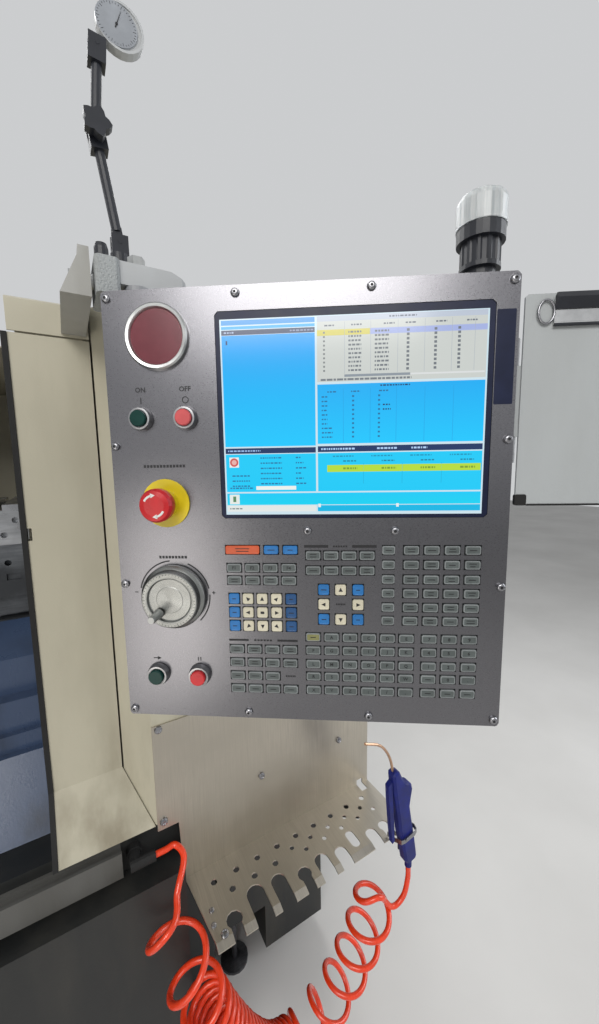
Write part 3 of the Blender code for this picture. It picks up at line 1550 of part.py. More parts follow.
def smooth_route(points, count):
    """Points evenly spread along a Catmull-Rom curve through the given points, as (place, share)."""
    padded = [2 * points[0] - points[1]] + points + [2 * points[-1] - points[-2]]
    fine = []
    per_span = 24
    for i in range(1, len(padded) - 2):
        p0, p1, p2, p3 = padded[i - 1 : i + 3]
        for k in range(per_span):
            t = k / per_span
            fine.append(
                0.5
                * (
                    2 * p1
                    + (p2 - p0) * t
                    + (2 * p0 - 5 * p1 + 4 * p2 - p3) * t * t
                    + (3 * p1 - p0 - 3 * p2 + p3) * t * t * t
                )
            )
    fine.append(padded[-2])
    lengths = [0.0]
    for a, b in zip(fine, fine[1:]):
        lengths.append(lengths[-1] + (b - a).length)
    spread = []
    at = 0
    for i in range(count):
        wanted = lengths[-1] * i / (count - 1)
        while at < len(fine) - 2 and lengths[at + 1] < wanted:
            at += 1
        span = lengths[at + 1] - lengths[at]
        spread.append(fine[at].lerp(fine[at + 1], (wanted - lengths[at]) / span))
    return spread


def air_hose(paint, root):
    """The recoil hose: thin tails at both ends and one fat tube round its coiled turns."""
    start = Vector((FITTING_X + FITTING_LENGTH + GAP, FITTING_ELBOW_Y, FITTING_Z))
    end = Vector((GUN_BOTTOM_X, GUN_Y, GUN_BOTTOM_Z - GUN_INLET_LENGTH - GAP))
    head = [start] + [Vector(p) for p in HOSE_HEAD_POINTS]
    coil = [Vector(p) for p in HOSE_COIL_POINTS]
    tail = [Vector(p) for p in HOSE_TAIL_POINTS] + [end]
    route = smooth_route(head + coil + tail, HOSE_POINTS)
    curve = bpy.data.curves.new("air_hose", "CURVE")
    curve.dimensions = "3D"
    curve.bevel_depth = HOSE_COIL_RADIUS
    curve.bevel_resolution = 2
    curve.use_fill_caps = True
    spline = curve.splines.new("POLY")
    spline.points.add(len(route) - 1)
    thin = HOSE_RADIUS / HOSE_COIL_RADIUS
    first = min(range(len(route)), key=lambda i: (route[i] - coil[0]).length)
    last = min(range(len(route)), key=lambda i: (route[i] - coil[-1]).length)
    for i, place in enumerate(route):
        inside = min(i - first, last - i) + 1
        share = min(1.0, max(0.0, inside / HOSE_TAPER_POINTS))
        spline.points[i].co = (*place, 1.0)
        spline.points[i].radius = thin + (1 - thin) * share
    made = bpy.data.objects.new("air_hose", curve)
    bpy.context.scene.collection.objects.link(made)
    curve.materials.append(paint["orange"])
    made.parent = root


def gun_axis(share, across=0.0):
    """A point in (x, z) along the gun from its top (0) to its bottom (1), and across it to the right."""
    top = Vector((GUN_TOP_X, GUN_TOP_Z))
    bottom = Vector((GUN_BOTTOM_X, GUN_BOTTOM_Z))
    line = bottom - top
    side = Vector((-line.y, line.x)).normalized()
    return tuple(top + line * share + side * across)


def air_gun_body(paint, root):
    y = (GUN_Y - GUN_THICKNESS / 2, GUN_Y + GUN_THICKNESS / 2)

    def silhouette(bm):
        outline = [gun_axis(along, across * GUN_WIDTH) for along, across in GUN_OUTLINE_SHARES]
        prism(bm, outline, *y, "y")

    def inlet(bm):
        centre = (GUN_BOTTOM_X, GUN_Y)
        low = GUN_BOTTOM_Z - GUN_INLET_LENGTH
        rod(bm, centre, GUN_INLET_RADIUS, low, GUN_BOTTOM_Z + GUN_WIDTH / 2, "z", SMALL_STEPS)

    made = node("air_gun_body", paint["blue"], silhouette, root)
    bevel = made.modifiers.new("edges", "BEVEL")
    bevel.width = GUN_CHAMFER
    bevel.segments = 1
    bevel.limit_method = "ANGLE"
    join(made, inlet)


def air_gun_trigger(paint, root):
    half = TRIGGER_THICKNESS / 2

    def lever(bm):
        outline = [gun_axis(along, across * GUN_WIDTH - GAP) for along, across in TRIGGER_OUTLINE_SHARES]
        prism(bm, outline, GUN_Y - half, GUN_Y + half, "y")

    pivot = gun_axis(TRIGGER_PIVOT_SHARES[0], TRIGGER_PIVOT_SHARES[1] * GUN_WIDTH)
    node("air_gun_trigger", paint["blue"], lever, root, (pivot[0], GUN_Y, pivot[1]))


def air_gun_nozzle(paint, root):
    start = Vector((GUN_TOP_X, GUN_Y, GUN_TOP_Z + 2 * GAP))

    def tube(bm):
        places = [start + Vector((x, 0, z)) for x, z in NOZZLE_POINTS]
        wire(bm, smooth_route(places, SMALL_STEPS), NOZZLE_RADIUS)

    node("air_gun_nozzle", paint["copper"], tube, root, tuple(start), smooth=60)


def air_gun_hanger(paint, root):
    """A steel strip on the gun's back that hooks over one of the tray's fingers."""
    back = GUN_Y + GUN_THICKNESS / 2 + GAP
    top = TRAY_FOLD_Z + TRAY_THICKNESS + GAP
    x = (HANGER_FINGER_X - HANGER_WIDTH / 2, HANGER_FINGER_X + HANGER_WIDTH / 2)

    def strip(bm):
        reach = -TRAY_DEPTH + HANGER_REACH
        wall = HANGER_THICKNESS
        outline = (
            (back, top - 2 * HANGER_DROP),
            (back + wall, top - 2 * HANGER_DROP),
            (back + wall, top),
            (reach, top),
            (reach, top + wall),
            (back, top + wall),
        )
        prism(bm, outline, *x, "x")

    node("air_gun_hanger", paint["chrome"], strip, root)


def post_bracket(paint, root):
    def upright(bm):
        outline = (
            (POST_FOOT_LEFT, POST_BOTTOM),
            (POST_RIGHT, POST_BOTTOM),
            (POST_RIGHT, POST_TOP),
            (POST_LEFT, POST_TOP),
            (POST_LEFT - PANEL_CLEARANCE / 2, POST_SHOULDER),
        )
        prism(bm, outline, POST_FRONT, POST_REAR, "y")

    def bore(bm):
        low, high = POST_FOOT_LEFT - CUT_OVERRUN, POST_RIGHT + CUT_OVERRUN
        rod(bm, (PIVOT_Y, PIVOT_Z), PIVOT_RADIUS + SWIVEL_CLEARANCE, low, high, "x", SMALL_STEPS)

    def nut_seat(bm):
        low = POST_FOOT_LEFT - CUT_OVERRUN
        rod(bm, (PIVOT_Y, PIVOT_Z), PIVOT_NUT_RADIUS + SHEET, low, POST_LEFT, "x", ROUND_STEPS)

    made = node("post_bracket", paint["cream"], upright, root)
    cut(made, bore)
    cut(made, nut_seat)


def arm_knuckle(paint, root):
    def body(bm):
        outline = chamfered(
            (KNUCKLE_LEFT, KNUCKLE_RIGHT), (KNUCKLE_FRONT, ARM_REAR), KNUCKLE_CHAMFER
        )
        prism(bm, outline, KNUCKLE_BOTTOM, ARM_TOP)

    def bore(bm):
        radius = PIVOT_RADIUS + SWIVEL_CLEARANCE
        low, high = KNUCKLE_LEFT - CUT_OVERRUN, PIVOT_END_X + GAP
        rod(bm, (PIVOT_Y, PIVOT_Z), radius, low, high, "x", SMALL_STEPS)

    def clamp_hole(bm):
        radius = CLAMP_STUD_RADIUS + SWIVEL_CLEARANCE
        rod(bm, (CLAMP_X, CLAMP_Y), radius, ARM_TOP - CLAMP_HEIGHT, ARM_TOP + CUT_OVERRUN, "z", SMALL_STEPS)

    made = node("arm_knuckle", paint["pale"], body, root)
    cut(made, bore)
    cut(made, clamp_hole)


def knuckle_bolt(paint, root):
    def shank(bm):
        rod(bm, (PIVOT_Y, PIVOT_Z), PIVOT_RADIUS, POST_LEFT - GAP, PIVOT_END_X, "x", SMALL_STEPS)

    def nut(bm):
        low = POST_LEFT - GAP - PIVOT_NUT_LENGTH
        rod(bm, (PIVOT_Y, PIVOT_Z), PIVOT_NUT_RADIUS, low, POST_LEFT - GAP, "x", 6)

    def washer(bm):
        low, high = POST_RIGHT + GAP, KNUCKLE_LEFT - GAP
        rod(bm, (PIVOT_Y, PIVOT_Z), PIVOT_WASHER_RADIUS, low, high, "x", SMALL_STEPS)

    made = node("knuckle_bolt", paint["chrome"], shank, root)
    join(made, nut)
    join(made, washer)


def clamp_knob(paint, root):
    def knob(bm):
        foot = ARM_TOP + GAP
        profile = (
            (0, foot - CLAMP_HEIGHT + SHEET),
            (CLAMP_STUD_RADIUS, foot - CLAMP_HEIGHT + SHEET),
            (CLAMP_STUD_RADIUS, foot),
            (CLAMP_RADIUS, foot),
            (CLAMP_RADIUS, foot + CLAMP_HEIGHT / 2),
            (CLAMP_RADIUS - SHEET / 2, foot + CLAMP_HEIGHT - SHEET * 2),
            (0, foot + CLAMP_HEIGHT - SHEET * 2),
        )
        turned(bm, profile, (CLAMP_X, CLAMP_Y), "z", SMALL_STEPS)

    node("clamp_knob", paint["plastic"], knob, root, smooth=40)


def arm_beam(paint, root):
    def body(bm):
        outline = (
            (ARM_LEFT, ARM_FRONT),
            (ARM_RIGHT - ARM_CHAMFER, ARM_FRONT),
            (ARM_RIGHT, ARM_FRONT + ARM_CHAMFER),
            (ARM_RIGHT, ARM_REAR),
            (ARM_LEFT, ARM_REAR),
        )
        prism(bm, outline, ARM_BOTTOM, ARM_TOP)

    def slope(bm):
        low = ARM_TOP - ARM_RIGHT_SLOPE
        outline = (
            (ARM_RIGHT - ARM_RIGHT_SLOPE * 2, ARM_TOP + GAP),
            (ARM_RIGHT + CUT_OVERRUN, low),
            (ARM_RIGHT + CUT_OVERRUN, ARM_TOP + CUT_OVERRUN),
        )
        prism(bm, outline, ARM_FRONT - CUT_OVERRUN, ARM_REAR + CUT_OVERRUN, "y")

    def swivel_hole(bm):
        radius = SWIVEL_BOLT_RADIUS + SWIVEL_CLEARANCE
        low, high = ARM_BOTTOM - CUT_OVERRUN, ARM_TOP + CUT_OVERRUN
        rod(bm, (SWIVEL_X, SWIVEL_Y), radius, low, high, "z", ROUND_STEPS)

    made = node("arm_beam", paint["pale"], body, root)
    cut(made, slope)
    cut(made, swivel_hole)


def swivel_bolt(paint, root):
    def shank(bm):
        low = ARM_BOTTOM - SWIVEL_ENGAGE
        rod(bm, (SWIVEL_X, SWIVEL_Y), SWIVEL_BOLT_RADIUS, low, ARM_TOP + SHEET, "z", ROUND_STEPS)

    def head(bm):
        low = ARM_TOP + GAP
        rod(bm, (SWIVEL_X, SWIVEL_Y), SWIVEL_HEAD_RADIUS, low, low + SWIVEL_HEAD_HEIGHT, "z", 6)

    made = node("swivel_bolt", paint["chrome"], shank, root)
    join(made, head)


def swivel_in_pendant():
    """The swivel axis in the pendant's (x, y)."""
    offset = Vector((SWIVEL_X - PLATE_CENTRE_X, SWIVEL_Y - PLATE_CENTRE_Y, 0))
    local = Matrix.Rotation(-PENDANT_TURN, 3, "Z") @ offset
    return local.x, local.y


def housing_half():
    return PLATE_WIDTH / 2 - HOUSING_INSET, PLATE_HEIGHT / 2 - HOUSING_INSET


def pendant_housing(paint, pendant):
    half_x, half_z = housing_half()
    front = PLATE_THICKNESS + GAP
    back = PLATE_THICKNESS + HOUSING_DEPTH
    swivel = swivel_in_pendant()

    def body(bm):
        rings = []
        taper_start = back - HOUSING_TAPER_DEPTH
        for depth, inset in ((front, 0), (taper_start, 0), (back, HOUSING_TAPER)):
            x, z = half_x - inset, half_z - inset
            corners = ((-x, -z), (x, -z), (x, z), (-x, z))
            rings.append([bm.verts.new((a, depth, b)) for a, b in corners])
        bm.faces.new(rings[0])
        bm.faces.new(rings[-1])
        for low, high in zip(rings, rings[1:]):
            for i in range(4):
                j = (i + 1) % 4
                bm.faces.new((low[i], low[j], high[j], high[i]))

    def boss(bm):
        low = half_z - CUT_OVERRUN
        rod(bm, swivel, SWIVEL_BOSS_RADIUS, low, ARM_BOTTOM - GAP - PLATE_CENTRE_Z, "z", ROUND_STEPS)

    def swivel_hole(bm):
        radius = SWIVEL_BOLT_RADIUS + SWIVEL_CLEARANCE
        low = ARM_BOTTOM - SWIVEL_ENGAGE - GAP - PLATE_CENTRE_Z
        rod(bm, swivel, radius, low, half_z + SWIVEL_BOSS_RADIUS * 2, "z", ROUND_STEPS)

    def keypad_recess(bm):
        x, z = keypad_extent(GAP)
        block(bm, x, (front - CUT_OVERRUN, front + KEYPAD_THICKNESS + GAP), z)

    def pockets(bm):
        for x, z in BUTTON_PLACES.values():
            depth = front + BUTTON_TRAVEL + SHEET
            rod(bm, (x, z), BUTTON_BORE_RADIUS, front - CUT_OVERRUN, depth, "y", SMALL_STEPS)
        for centre, radius in (
            ((ESTOP_X, ESTOP_Z), ESTOP_BORE_RADIUS),
            ((JOG_X, JOG_Z), JOG_SHAFT_RADIUS + HINGE_CLEARANCE),
        ):
            rod(bm, centre, radius, front - CUT_OVERRUN, front + ESTOP_POCKET_DEPTH, "y", ROUND_STEPS)

    def hinge_lugs(bm):
        x, y = hinge_axis()
        for z_low in (HINGE_LOW, HINGE_HIGH - HINGE_LUG):
            z = (z_low, z_low + HINGE_LUG)
            rod(bm, (x, y), HINGE_RADIUS, *z, "z", SMALL_STEPS)
            leaf = HINGE_RADIUS / 2
            block(bm, (half_x - CUT_OVERRUN, x), (y - leaf, y + leaf), z)

    def hinge_pin(bm):
        z = (HINGE_LOW + CUT_OVERRUN, HINGE_HIGH - CUT_OVERRUN)
        rod(bm, hinge_axis(), HINGE_PIN_RADIUS, *z, "z", SCREW_STEPS)

    made = node("pendant_housing", paint["pale"], body, pendant)
    join(made, boss)
    cut(made, swivel_hole)
    cut(made, keypad_recess)
    cut(made, pockets)
    join(made, hinge_lugs, overlapping=True)
    join(made, hinge_pin)


def hinge_axis():
    """The clipboard hinge's axis in the pendant's (x, y)."""
    return PLATE_WIDTH / 2 + CLIPBOARD_GAP / 2, CLIPBOARD_SETBACK + CLIPBOARD_THICKNESS + HINGE_RADIUS


def screen_frame():
    return (SCREEN_LEFT, SCREEN_RIGHT), (SCREEN_BOTTOM, SCREEN_TOP)


def plate_screw_places():
    x = PLATE_WIDTH / 2 - PLATE_SCREW_INSET
    z = PLATE_HEIGHT / 2 - PLATE_SCREW_INSET
    places = [(sx * x, sz * z) for sx in (-1, 1) for sz in (-1, 1)]
    places += [(sx * PLATE_SCREW_TOP_X, sz * z) for sx in (-1, 1) for sz in (-1, 1)]
    places += [(sx * x, sz * PLATE_SCREW_SIDE_Z) for sx in (-1, 1) for sz in (-1, 1)]
    places += [(x_middle, PLATE_SCREW_MIDDLE_Z) for x_middle in PLATE_SCREW_MIDDLE_X]
    return places


def face_plate(paint, pendant):
    half_x, half_z = PLATE_WIDTH / 2, PLATE_HEIGHT / 2

    def sheet(bm):
        outline = chamfered((-half_x, half_x), (-half_z, half_z), PLATE_CORNER)
        prism(bm, outline, 0, PLATE_THICKNESS, "y")

    def screen_hole(bm):
        x, z = screen_frame()
        outline = chamfered(x, z, SCREEN_CORNER)
        prism(bm, outline, -CUT_OVERRUN, PLATE_THICKNESS + CUT_OVERRUN, "y")

    def windows(bm):
        for x, z, width, height in keys():
            w, h = width / 2 + KEY_CLEARANCE, height / 2 + KEY_CLEARANCE
            block(bm, (x - w, x + w), (-CUT_OVERRUN, PLATE_THICKNESS + CUT_OVERRUN), (z - h, z + h))

    def bezels(bm):
        for place in BUTTON_PLACES.values():
            rod(bm, place, BEZEL_RADIUS, -BEZEL_HEIGHT, PLATE_THICKNESS / 2, "y", EDGE_STEPS)

    def bores(bm):
        low, high = -BEZEL_HEIGHT - CUT_OVERRUN, PLATE_THICKNESS + CUT_OVERRUN
        for place in BUTTON_PLACES.values():
            rod(bm, place, BUTTON_BORE_RADIUS, low, high, "y", EDGE_STEPS)
        rod(bm, (ESTOP_X, ESTOP_Z), ESTOP_BORE_RADIUS, low, high, "y", ROUND_STEPS)
        rod(bm, (JOG_X, JOG_Z), JOG_SHAFT_RADIUS + HINGE_CLEARANCE, low, high, "y", ROUND_STEPS)

    def screws(bm):
        for place in plate_screw_places():
            half = PLATE_THICKNESS / 2
            rod(bm, place, PLATE_SCREW_RADIUS, -PLATE_SCREW_HEIGHT, half, "y", SCREW_STEPS)

    made = node("face_plate", paint["steel"], sheet, pendant)
    cut(made, screen_hole)
    cut(made, windows)
    join(made, bezels)
    cut(made, bores)
    join(made, screws)


def screen_panel(paint, pendant):
    def slab(bm):
        (x_low, x_high), (z_low, z_high) = screen_frame()
        x, z = (x_low + GAP, x_high - GAP), (z_low + GAP, z_high - GAP)
        prism(bm, chamfered(x, z, SCREEN_CORNER), SCREEN_RECESS, PLATE_THICKNESS, "y")

    node("screen_panel", paint["screen"], slab, pendant)


def keys():
    """(x, z, width, height) of every key, block by block."""
    places = [(KEY_RESET_X, KEY_TOP_Z, KEY_WIDE, KEY_HEIGHT)]
    places += [(x, KEY_TOP_Z, KEY_WIDTH, KEY_HEIGHT) for x in KEY_BLUE_X]
    for z in KEY_FUNCTION_Z:
        for i in range(4):
            places.append((KEY_FUNCTION_X + i * KEY_FUNCTION_PITCH, z, KEY_WIDTH, KEY_HEIGHT))
    for z in KEY_JOG_Z:
        places += [(x, z, KEY_SQUARE, KEY_SQUARE) for x in KEY_JOG_X]
    for row, z in enumerate(KEY_LOWER_Z):
        for i in range(3 if row == 2 else 4):
            places.append((KEY_FUNCTION_X + i * KEY_FUNCTION_PITCH, z, KEY_WIDTH, KEY_HEIGHT))
    for z in KEY_DISPLAY_Z:
        for i in range(4):
            places.append((KEY_DISPLAY_X + i * KEY_DISPLAY_PITCH, z, KEY_WIDTH, KEY_HEIGHT))
    for row, z in enumerate(KEY_CURSOR_Z):
        for column, x in enumerate(KEY_CURSOR_X):
            if (row, column) != (1, 1):
                places.append((x, z, KEY_SQUARE, KEY_SQUARE))
    places += [(KEY_PAGE_X, z, KEY_SQUARE, KEY_HEIGHT) for z in KEY_PAGE_Z]
    for z in KEY_PAGE_Z:
        for i in range(4):
            places.append((KEY_MODE_X + i * KEY_MODE_PITCH, z, KEY_WIDTH, KEY_HEIGHT))
    for z in KEY_ALPHA_Z:
        for i in range(6):
            places.append((KEY_ALPHA_X + i * KEY_ALPHA_PITCH, z, KEY_WIDTH, KEY_HEIGHT))
    for z in KEY_ALPHA_Z:
        for i in range(3):
            places.append((KEY_NUMBER_X + i * KEY_NUMBER_PITCH, z, KEY_WIDTH, KEY_HEIGHT))
    return places


def keypad_extent(margin):
    xs = [(x - w / 2, x + w / 2) for x, _, w, _ in keys()]
    zs = [(z - h / 2, z + h / 2) for _, z, _, h in keys()]
    edge = KEYPAD_MARGIN / 2 + margin
    x = (min(a for a, _ in xs) - edge, max(b for _, b in xs) + edge)
    z = (min(a for a, _ in zs) - edge, max(b for _, b in zs) + edge)
    return x, z


def keypad(paint, pendant):
    """One moulded mat whose keys stand through the face plate's windows."""
    front = PLATE_THICKNESS + GAP
    back = front + KEYPAD_THICKNESS

    def mat(bm):
        x, z = keypad_extent(0)
        block(bm, x, (front, back), z)

    def caps(bm):
        for x, z, width, height in keys():
            rings = []
            for depth, inset in ((front + KEYPAD_THICKNESS / 2, 0), (-KEY_PROUD, KEY_TAPER)):
                w, h = width / 2 - inset, height / 2 - inset
                corners = ((x - w, z - h), (x + w, z - h), (x + w, z + h), (x - w, z + h))
                rings.append([bm.verts.new((a, depth, b)) for a, b in corners])
            bm.faces.new(rings[0])
            bm.faces.new(rings[-1])
            for low, high in zip(rings, rings[1:]):
                for i in range(4):
                    j = (i + 1) % 4
                    bm.faces.new((low[i], low[j], high[j], high[i]))

    made = node("keypad", paint["key"], mat, pendant)
    join(made, caps)


def badge(paint, pendant):
    def disc(bm):
        rim = BADGE_RADIUS - BADGE_RIM
        profile = (
            (0, -GAP),
            (BADGE_RADIUS, -GAP),
            (BADGE_RADIUS, -BADGE_THICKNESS + BADGE_RIM / 4),
            (BADGE_RADIUS - BADGE_RIM / 4, -BADGE_THICKNESS),
            (rim, -BADGE_THICKNESS),
            (rim, -BADGE_THICKNESS + BADGE_DISH),
            (0, -BADGE_THICKNESS + BADGE_DISH),
        )
        turned(bm, profile, (BADGE_X, BADGE_Z), "y", 32)

    node("badge", paint["maroon"], disc, pendant, smooth=40)


def estop_ring(paint, pendant):
    def ring(bm):
        face = -GAP - ESTOP_DISC_THICKNESS
        profile = (
            (ESTOP_BORE_RADIUS, -GAP),
            (ESTOP_DISC_RADIUS, -GAP),
            (ESTOP_DISC_RADIUS, face),
            (ESTOP_COLLAR_RADIUS, face),
            (ESTOP_COLLAR_RADIUS, -ESTOP_COLLAR_HEIGHT),
            (ESTOP_BORE_RADIUS, -ESTOP_COLLAR_HEIGHT),
        )
        turned_ring(bm, profile, (ESTOP_X, ESTOP_Z), "y", ROUND_STEPS)

    node("estop_ring", paint["yellow"], ring, pendant, smooth=40)


def estop_button(paint, pendant):
    def mushroom(bm):
        seat = -ESTOP_COLLAR_HEIGHT - ESTOP_HEAD_LIFT
        top = seat - ESTOP_HEAD_HEIGHT
        profile = (
            (0, PLATE_THICKNESS),
            (ESTOP_STEM_RADIUS, PLATE_THICKNESS),
            (ESTOP_STEM_RADIUS, seat),
            (ESTOP_HEAD_RADIUS * 0.86, seat),
            (ESTOP_HEAD_RADIUS, seat - ESTOP_HEAD_HEIGHT * 0.25),
            (ESTOP_HEAD_RADIUS, seat - ESTOP_HEAD_HEIGHT * 0.70),
            (ESTOP_HEAD_RADIUS * 0.88, seat - ESTOP_HEAD_HEIGHT * 0.93),
            (ESTOP_HEAD_RADIUS * 0.60, top),
            (0, top),
        )
        turned(bm, profile, (ESTOP_X, ESTOP_Z), "y", ROUND_STEPS)

    node("estop_button", paint["red"], mushroom, pendant, (ESTOP_X, 0, ESTOP_Z), smooth=40)


def push_buttons(paint, pendant):
    colours = {
        "power_on_button": "green",
        "power_off_button": "red",
        "cycle_start_button": "green",
        "feed_hold_button": "red",
    }
    for name, (x, z) in BUTTON_PLACES.items():

        def button(bm, x=x, z=z):
            face = -BEZEL_HEIGHT - BUTTON_PROUD
            profile = (
                (0, face + BUTTON_LENGTH),
                (BUTTON_RADIUS, face + BUTTON_LENGTH),
                (BUTTON_RADIUS, face + BUTTON_ROUND),
                (BUTTON_RADIUS - BUTTON_ROUND, face),
                (0, face),
            )
            turned(bm, profile, (x, z), "y", EDGE_STEPS)

        node(name, paint[colours[name]], button, pendant, (x, 0, z), smooth=40)


def jog_wheel(paint, pendant):
    centre = (JOG_X, JOG_Z)

    def wheel(bm):
        foot = -JOG_FACE_CLEARANCE
        face = foot - JOG_FACE_HEIGHT
        profile = (
            (0, PLATE_THICKNESS),
            (JOG_SHAFT_RADIUS, PLATE_THICKNESS),
            (JOG_SHAFT_RADIUS, foot),
            (JOG_RADIUS, foot),
            (JOG_RADIUS, foot - JOG_RIM_HEIGHT * 0.8),
            (JOG_STEP_RADIUS, foot - JOG_RIM_HEIGHT),
            (JOG_STEP_RADIUS * 0.94, face),
            (JOG_DISH_RADIUS, face),
            (JOG_DISH_RADIUS * 0.93, face + JOG_DISH_DEPTH),
            (0, face + JOG_DISH_DEPTH),
        )
        turned(bm, profile, centre, "y", 32)

    def knob_boss(bm):
        x, z = jog_knob_place()
        face = -JOG_FACE_CLEARANCE - JOG_FACE_HEIGHT
        low, high = face + GAP, face + JOG_DISH_DEPTH + SHEET
        rod(bm, (x, z), JOG_KNOB_RADIUS + KEY_PROUD, low, high, "y", SMALL_STEPS)

    made = node("jog_wheel", paint["chrome"], wheel, pendant, (JOG_X, 0, JOG_Z), smooth=40)
    join(made, knob_boss)


def jog_knob_place():
    x = JOG_X + JOG_KNOB_ARM * math.cos(JOG_KNOB_ANGLE)
    z = JOG_Z + JOG_KNOB_ARM * math.sin(JOG_KNOB_ANGLE)
    return x, z


def jog_knob(paint, pendant):
    x, z = jog_knob_place()

    def knob(bm):
        foot = -JOG_FACE_CLEARANCE - JOG_FACE_HEIGHT
        tip = foot - JOG_KNOB_LENGTH
        profile = (
            (0, foot),
            (JOG_KNOB_RADIUS, foot),
            (JOG_KNOB_RADIUS * 0.8, foot - JOG_KNOB_LENGTH * 0.35),
            (JOG_KNOB_TIP_RADIUS, tip + JOG_KNOB_LENGTH * 0.15),
            (JOG_KNOB_TIP_RADIUS * 0.8, tip),
            (0, tip),
        )
        turned(bm, profile, (x, z), "y", SMALL_STEPS)

    node("jog_knob", paint["chrome"], knob, pendant, (x, 0, z), smooth=40)


def beacon_base(paint, pendant):
    centre = (BEACON_X, BEACON_Y)
    seat = housing_half()[1] + GAP
    flange = seat + BEACON_STEM_HEIGHT
    body_low = flange + BEACON_FLANGE_HEIGHT
    collar_low = body_low + BEACON_BODY_HEIGHT
    top = collar_low + BEACON_COLLAR_HEIGHT

    def turned_body(bm):
        profile = (
            (0, seat),
            (BEACON_STEM_RADIUS, seat),
            (BEACON_STEM_RADIUS, flange),
            (BEACON_FLANGE_RADIUS, flange),
            (BEACON_FLANGE_RADIUS, body_low),
            (BEACON_BODY_RADIUS, body_low),
            (BEACON_BODY_RADIUS, collar_low),
            (BEACON_COLLAR_RADIUS, collar_low),
            (BEACON_COLLAR_RADIUS, top),
            (BEACON_LAMP_RADIUS, top),
            (BEACON_LAMP_RADIUS, top + BEACON_LAMP_HEIGHT * 0.75),
            (BEACON_LAMP_RADIUS * 0.6, top + BEACON_LAMP_HEIGHT),
            (0, top + BEACON_LAMP_HEIGHT),
        )
        turned(bm, profile, centre, "z", ROUND_STEPS)

    def ribs(bm):
        outline = []
        teeth = BEACON_RIB_COUNT * 4
        for i in range(teeth):
            angle = 2 * math.pi * (i + 0.5) / teeth
            proud = BEACON_RIB_DEPTH if i % 4 < 2 else -BEACON_RIB_DEPTH / 2
            radius = BEACON_BODY_RADIUS + proud
            outline.append((centre[0] + radius * math.cos(angle), centre[1] + radius * math.sin(angle)))
        prism(bm, outline, body_low - GAP, collar_low + GAP)

    made = node("beacon_base", paint["plastic"], turned_body, pendant, smooth=40)
    join(made, ribs)


def beacon_lens(paint, pendant):
    seat = housing_half()[1] + GAP + BEACON_STEM_HEIGHT + BEACON_FLANGE_HEIGHT
    seat += BEACON_BODY_HEIGHT + BEACON_COLLAR_HEIGHT + GAP
    top = seat + BEACON_LENS_HEIGHT
    outer, wall = BEACON_LENS_RADIUS, BEACON_LENS_WALL

    def dome(bm):
        profile = [(0, top - wall), (outer - BEACON_LENS_ROUND, top - wall)]
        profile += [(outer - wall, top - BEACON_LENS_ROUND), (outer - wall, seat), (outer, seat)]
        for i in range(5):
            angle = math.pi / 2 * i / 4
            x = outer - BEACON_LENS_ROUND + BEACON_LENS_ROUND * math.cos(angle)
            profile.append((x, top - BEACON_LENS_ROUND + BEACON_LENS_ROUND * math.sin(angle)))
        profile.append((0, top))
        turned(bm, profile, (BEACON_X, BEACON_Y), "z", ROUND_STEPS)

    node("beacon_lens", paint["glass"], dome, pendant, smooth=40)


def clipboard_x():
    left = hinge_axis()[0] + HINGE_RADIUS
    return left, left + CLIPBOARD_WIDTH


def clipboard(paint, pendant):
    x, y = clipboard_x(), (CLIPBOARD_SETBACK, CLIPBOARD_SETBACK + CLIPBOARD_THICKNESS)
    axis = hinge_axis()
    barrel = (HINGE_LOW + HINGE_LUG + GAP, HINGE_HIGH - HINGE_LUG - GAP)

    def board(bm):
        outline = chamfered(x, (CLIPBOARD_BOTTOM, CLIPBOARD_TOP), CLIPBOARD_CORNER)
        prism(bm, outline, *y, "y")

    def knuckle(bm):
        rod(bm, axis, HINGE_RADIUS, *barrel, "z", ROUND_STEPS)

    def leaf(bm):
        block(bm, (axis[0], x[0] + CLIPBOARD_CORNER * 2), (y[1] - GAP, axis[1]), barrel)

    def pin_hole(bm):
        z = (barrel[0] - CUT_OVERRUN, barrel[1] + CUT_OVERRUN)
        rod(bm, axis, HINGE_PIN_RADIUS + HINGE_CLEARANCE, *z, "z", SMALL_STEPS)

    made = node("clipboard", paint["pale"], board, pendant, (axis[0], axis[1], CLIPBOARD_BOTTOM))
    join(made, knuckle)
    join(made, leaf)
    cut(made, pin_hole)


def clip_span():
    left = clipboard_x()[0] + CLIP_LEFT
    return left, left + CLIP_LENGTH


def clipboard_clip(paint, pendant):
    x = clip_span()
    front = CLIPBOARD_SETBACK - CLIP_STANDOFF
    spine_z = CLIPBOARD_TOP - CLIP_SPINE_RADIUS - SHEET
    spine_y = front - CLIP_SPINE_RADIUS

    def jaw(bm):
        low = spine_z - CLIP_HEIGHT
        outline = (
            (spine_y, spine_z + CLIP_SHEET),
            (front - CLIP_SHEET * 2, low),
            (front, low),
            (front, low + CLIP_SHEET),
            (spine_y + CLIP_SHEET * 2, spine_z),
        )
        prism(bm, outline, *x, "x")

    def spine(bm):
        rod(bm, (spine_y, spine_z), CLIP_SPINE_RADIUS, *x, "x", SMALL_STEPS)

    def bail(bm):
        y = front - BAIL_RADIUS
        z = spine_z - CLIP_HEIGHT
        drops = (0, 0, BAIL_DROP, BAIL_DROP, 0, 0)
        places = [x[0] + CLIP_LENGTH * share for share in BAIL_BEND_SHARES]
        wire(bm, [(place, y, z - drop) for place, drop in zip(places, drops)], BAIL_RADIUS)

    origin = (x[0], spine_y, spine_z)
    made = node("clipboard_clip", paint["chrome"], jaw, pendant, origin)
    join(made, spine)
    join(made, bail)


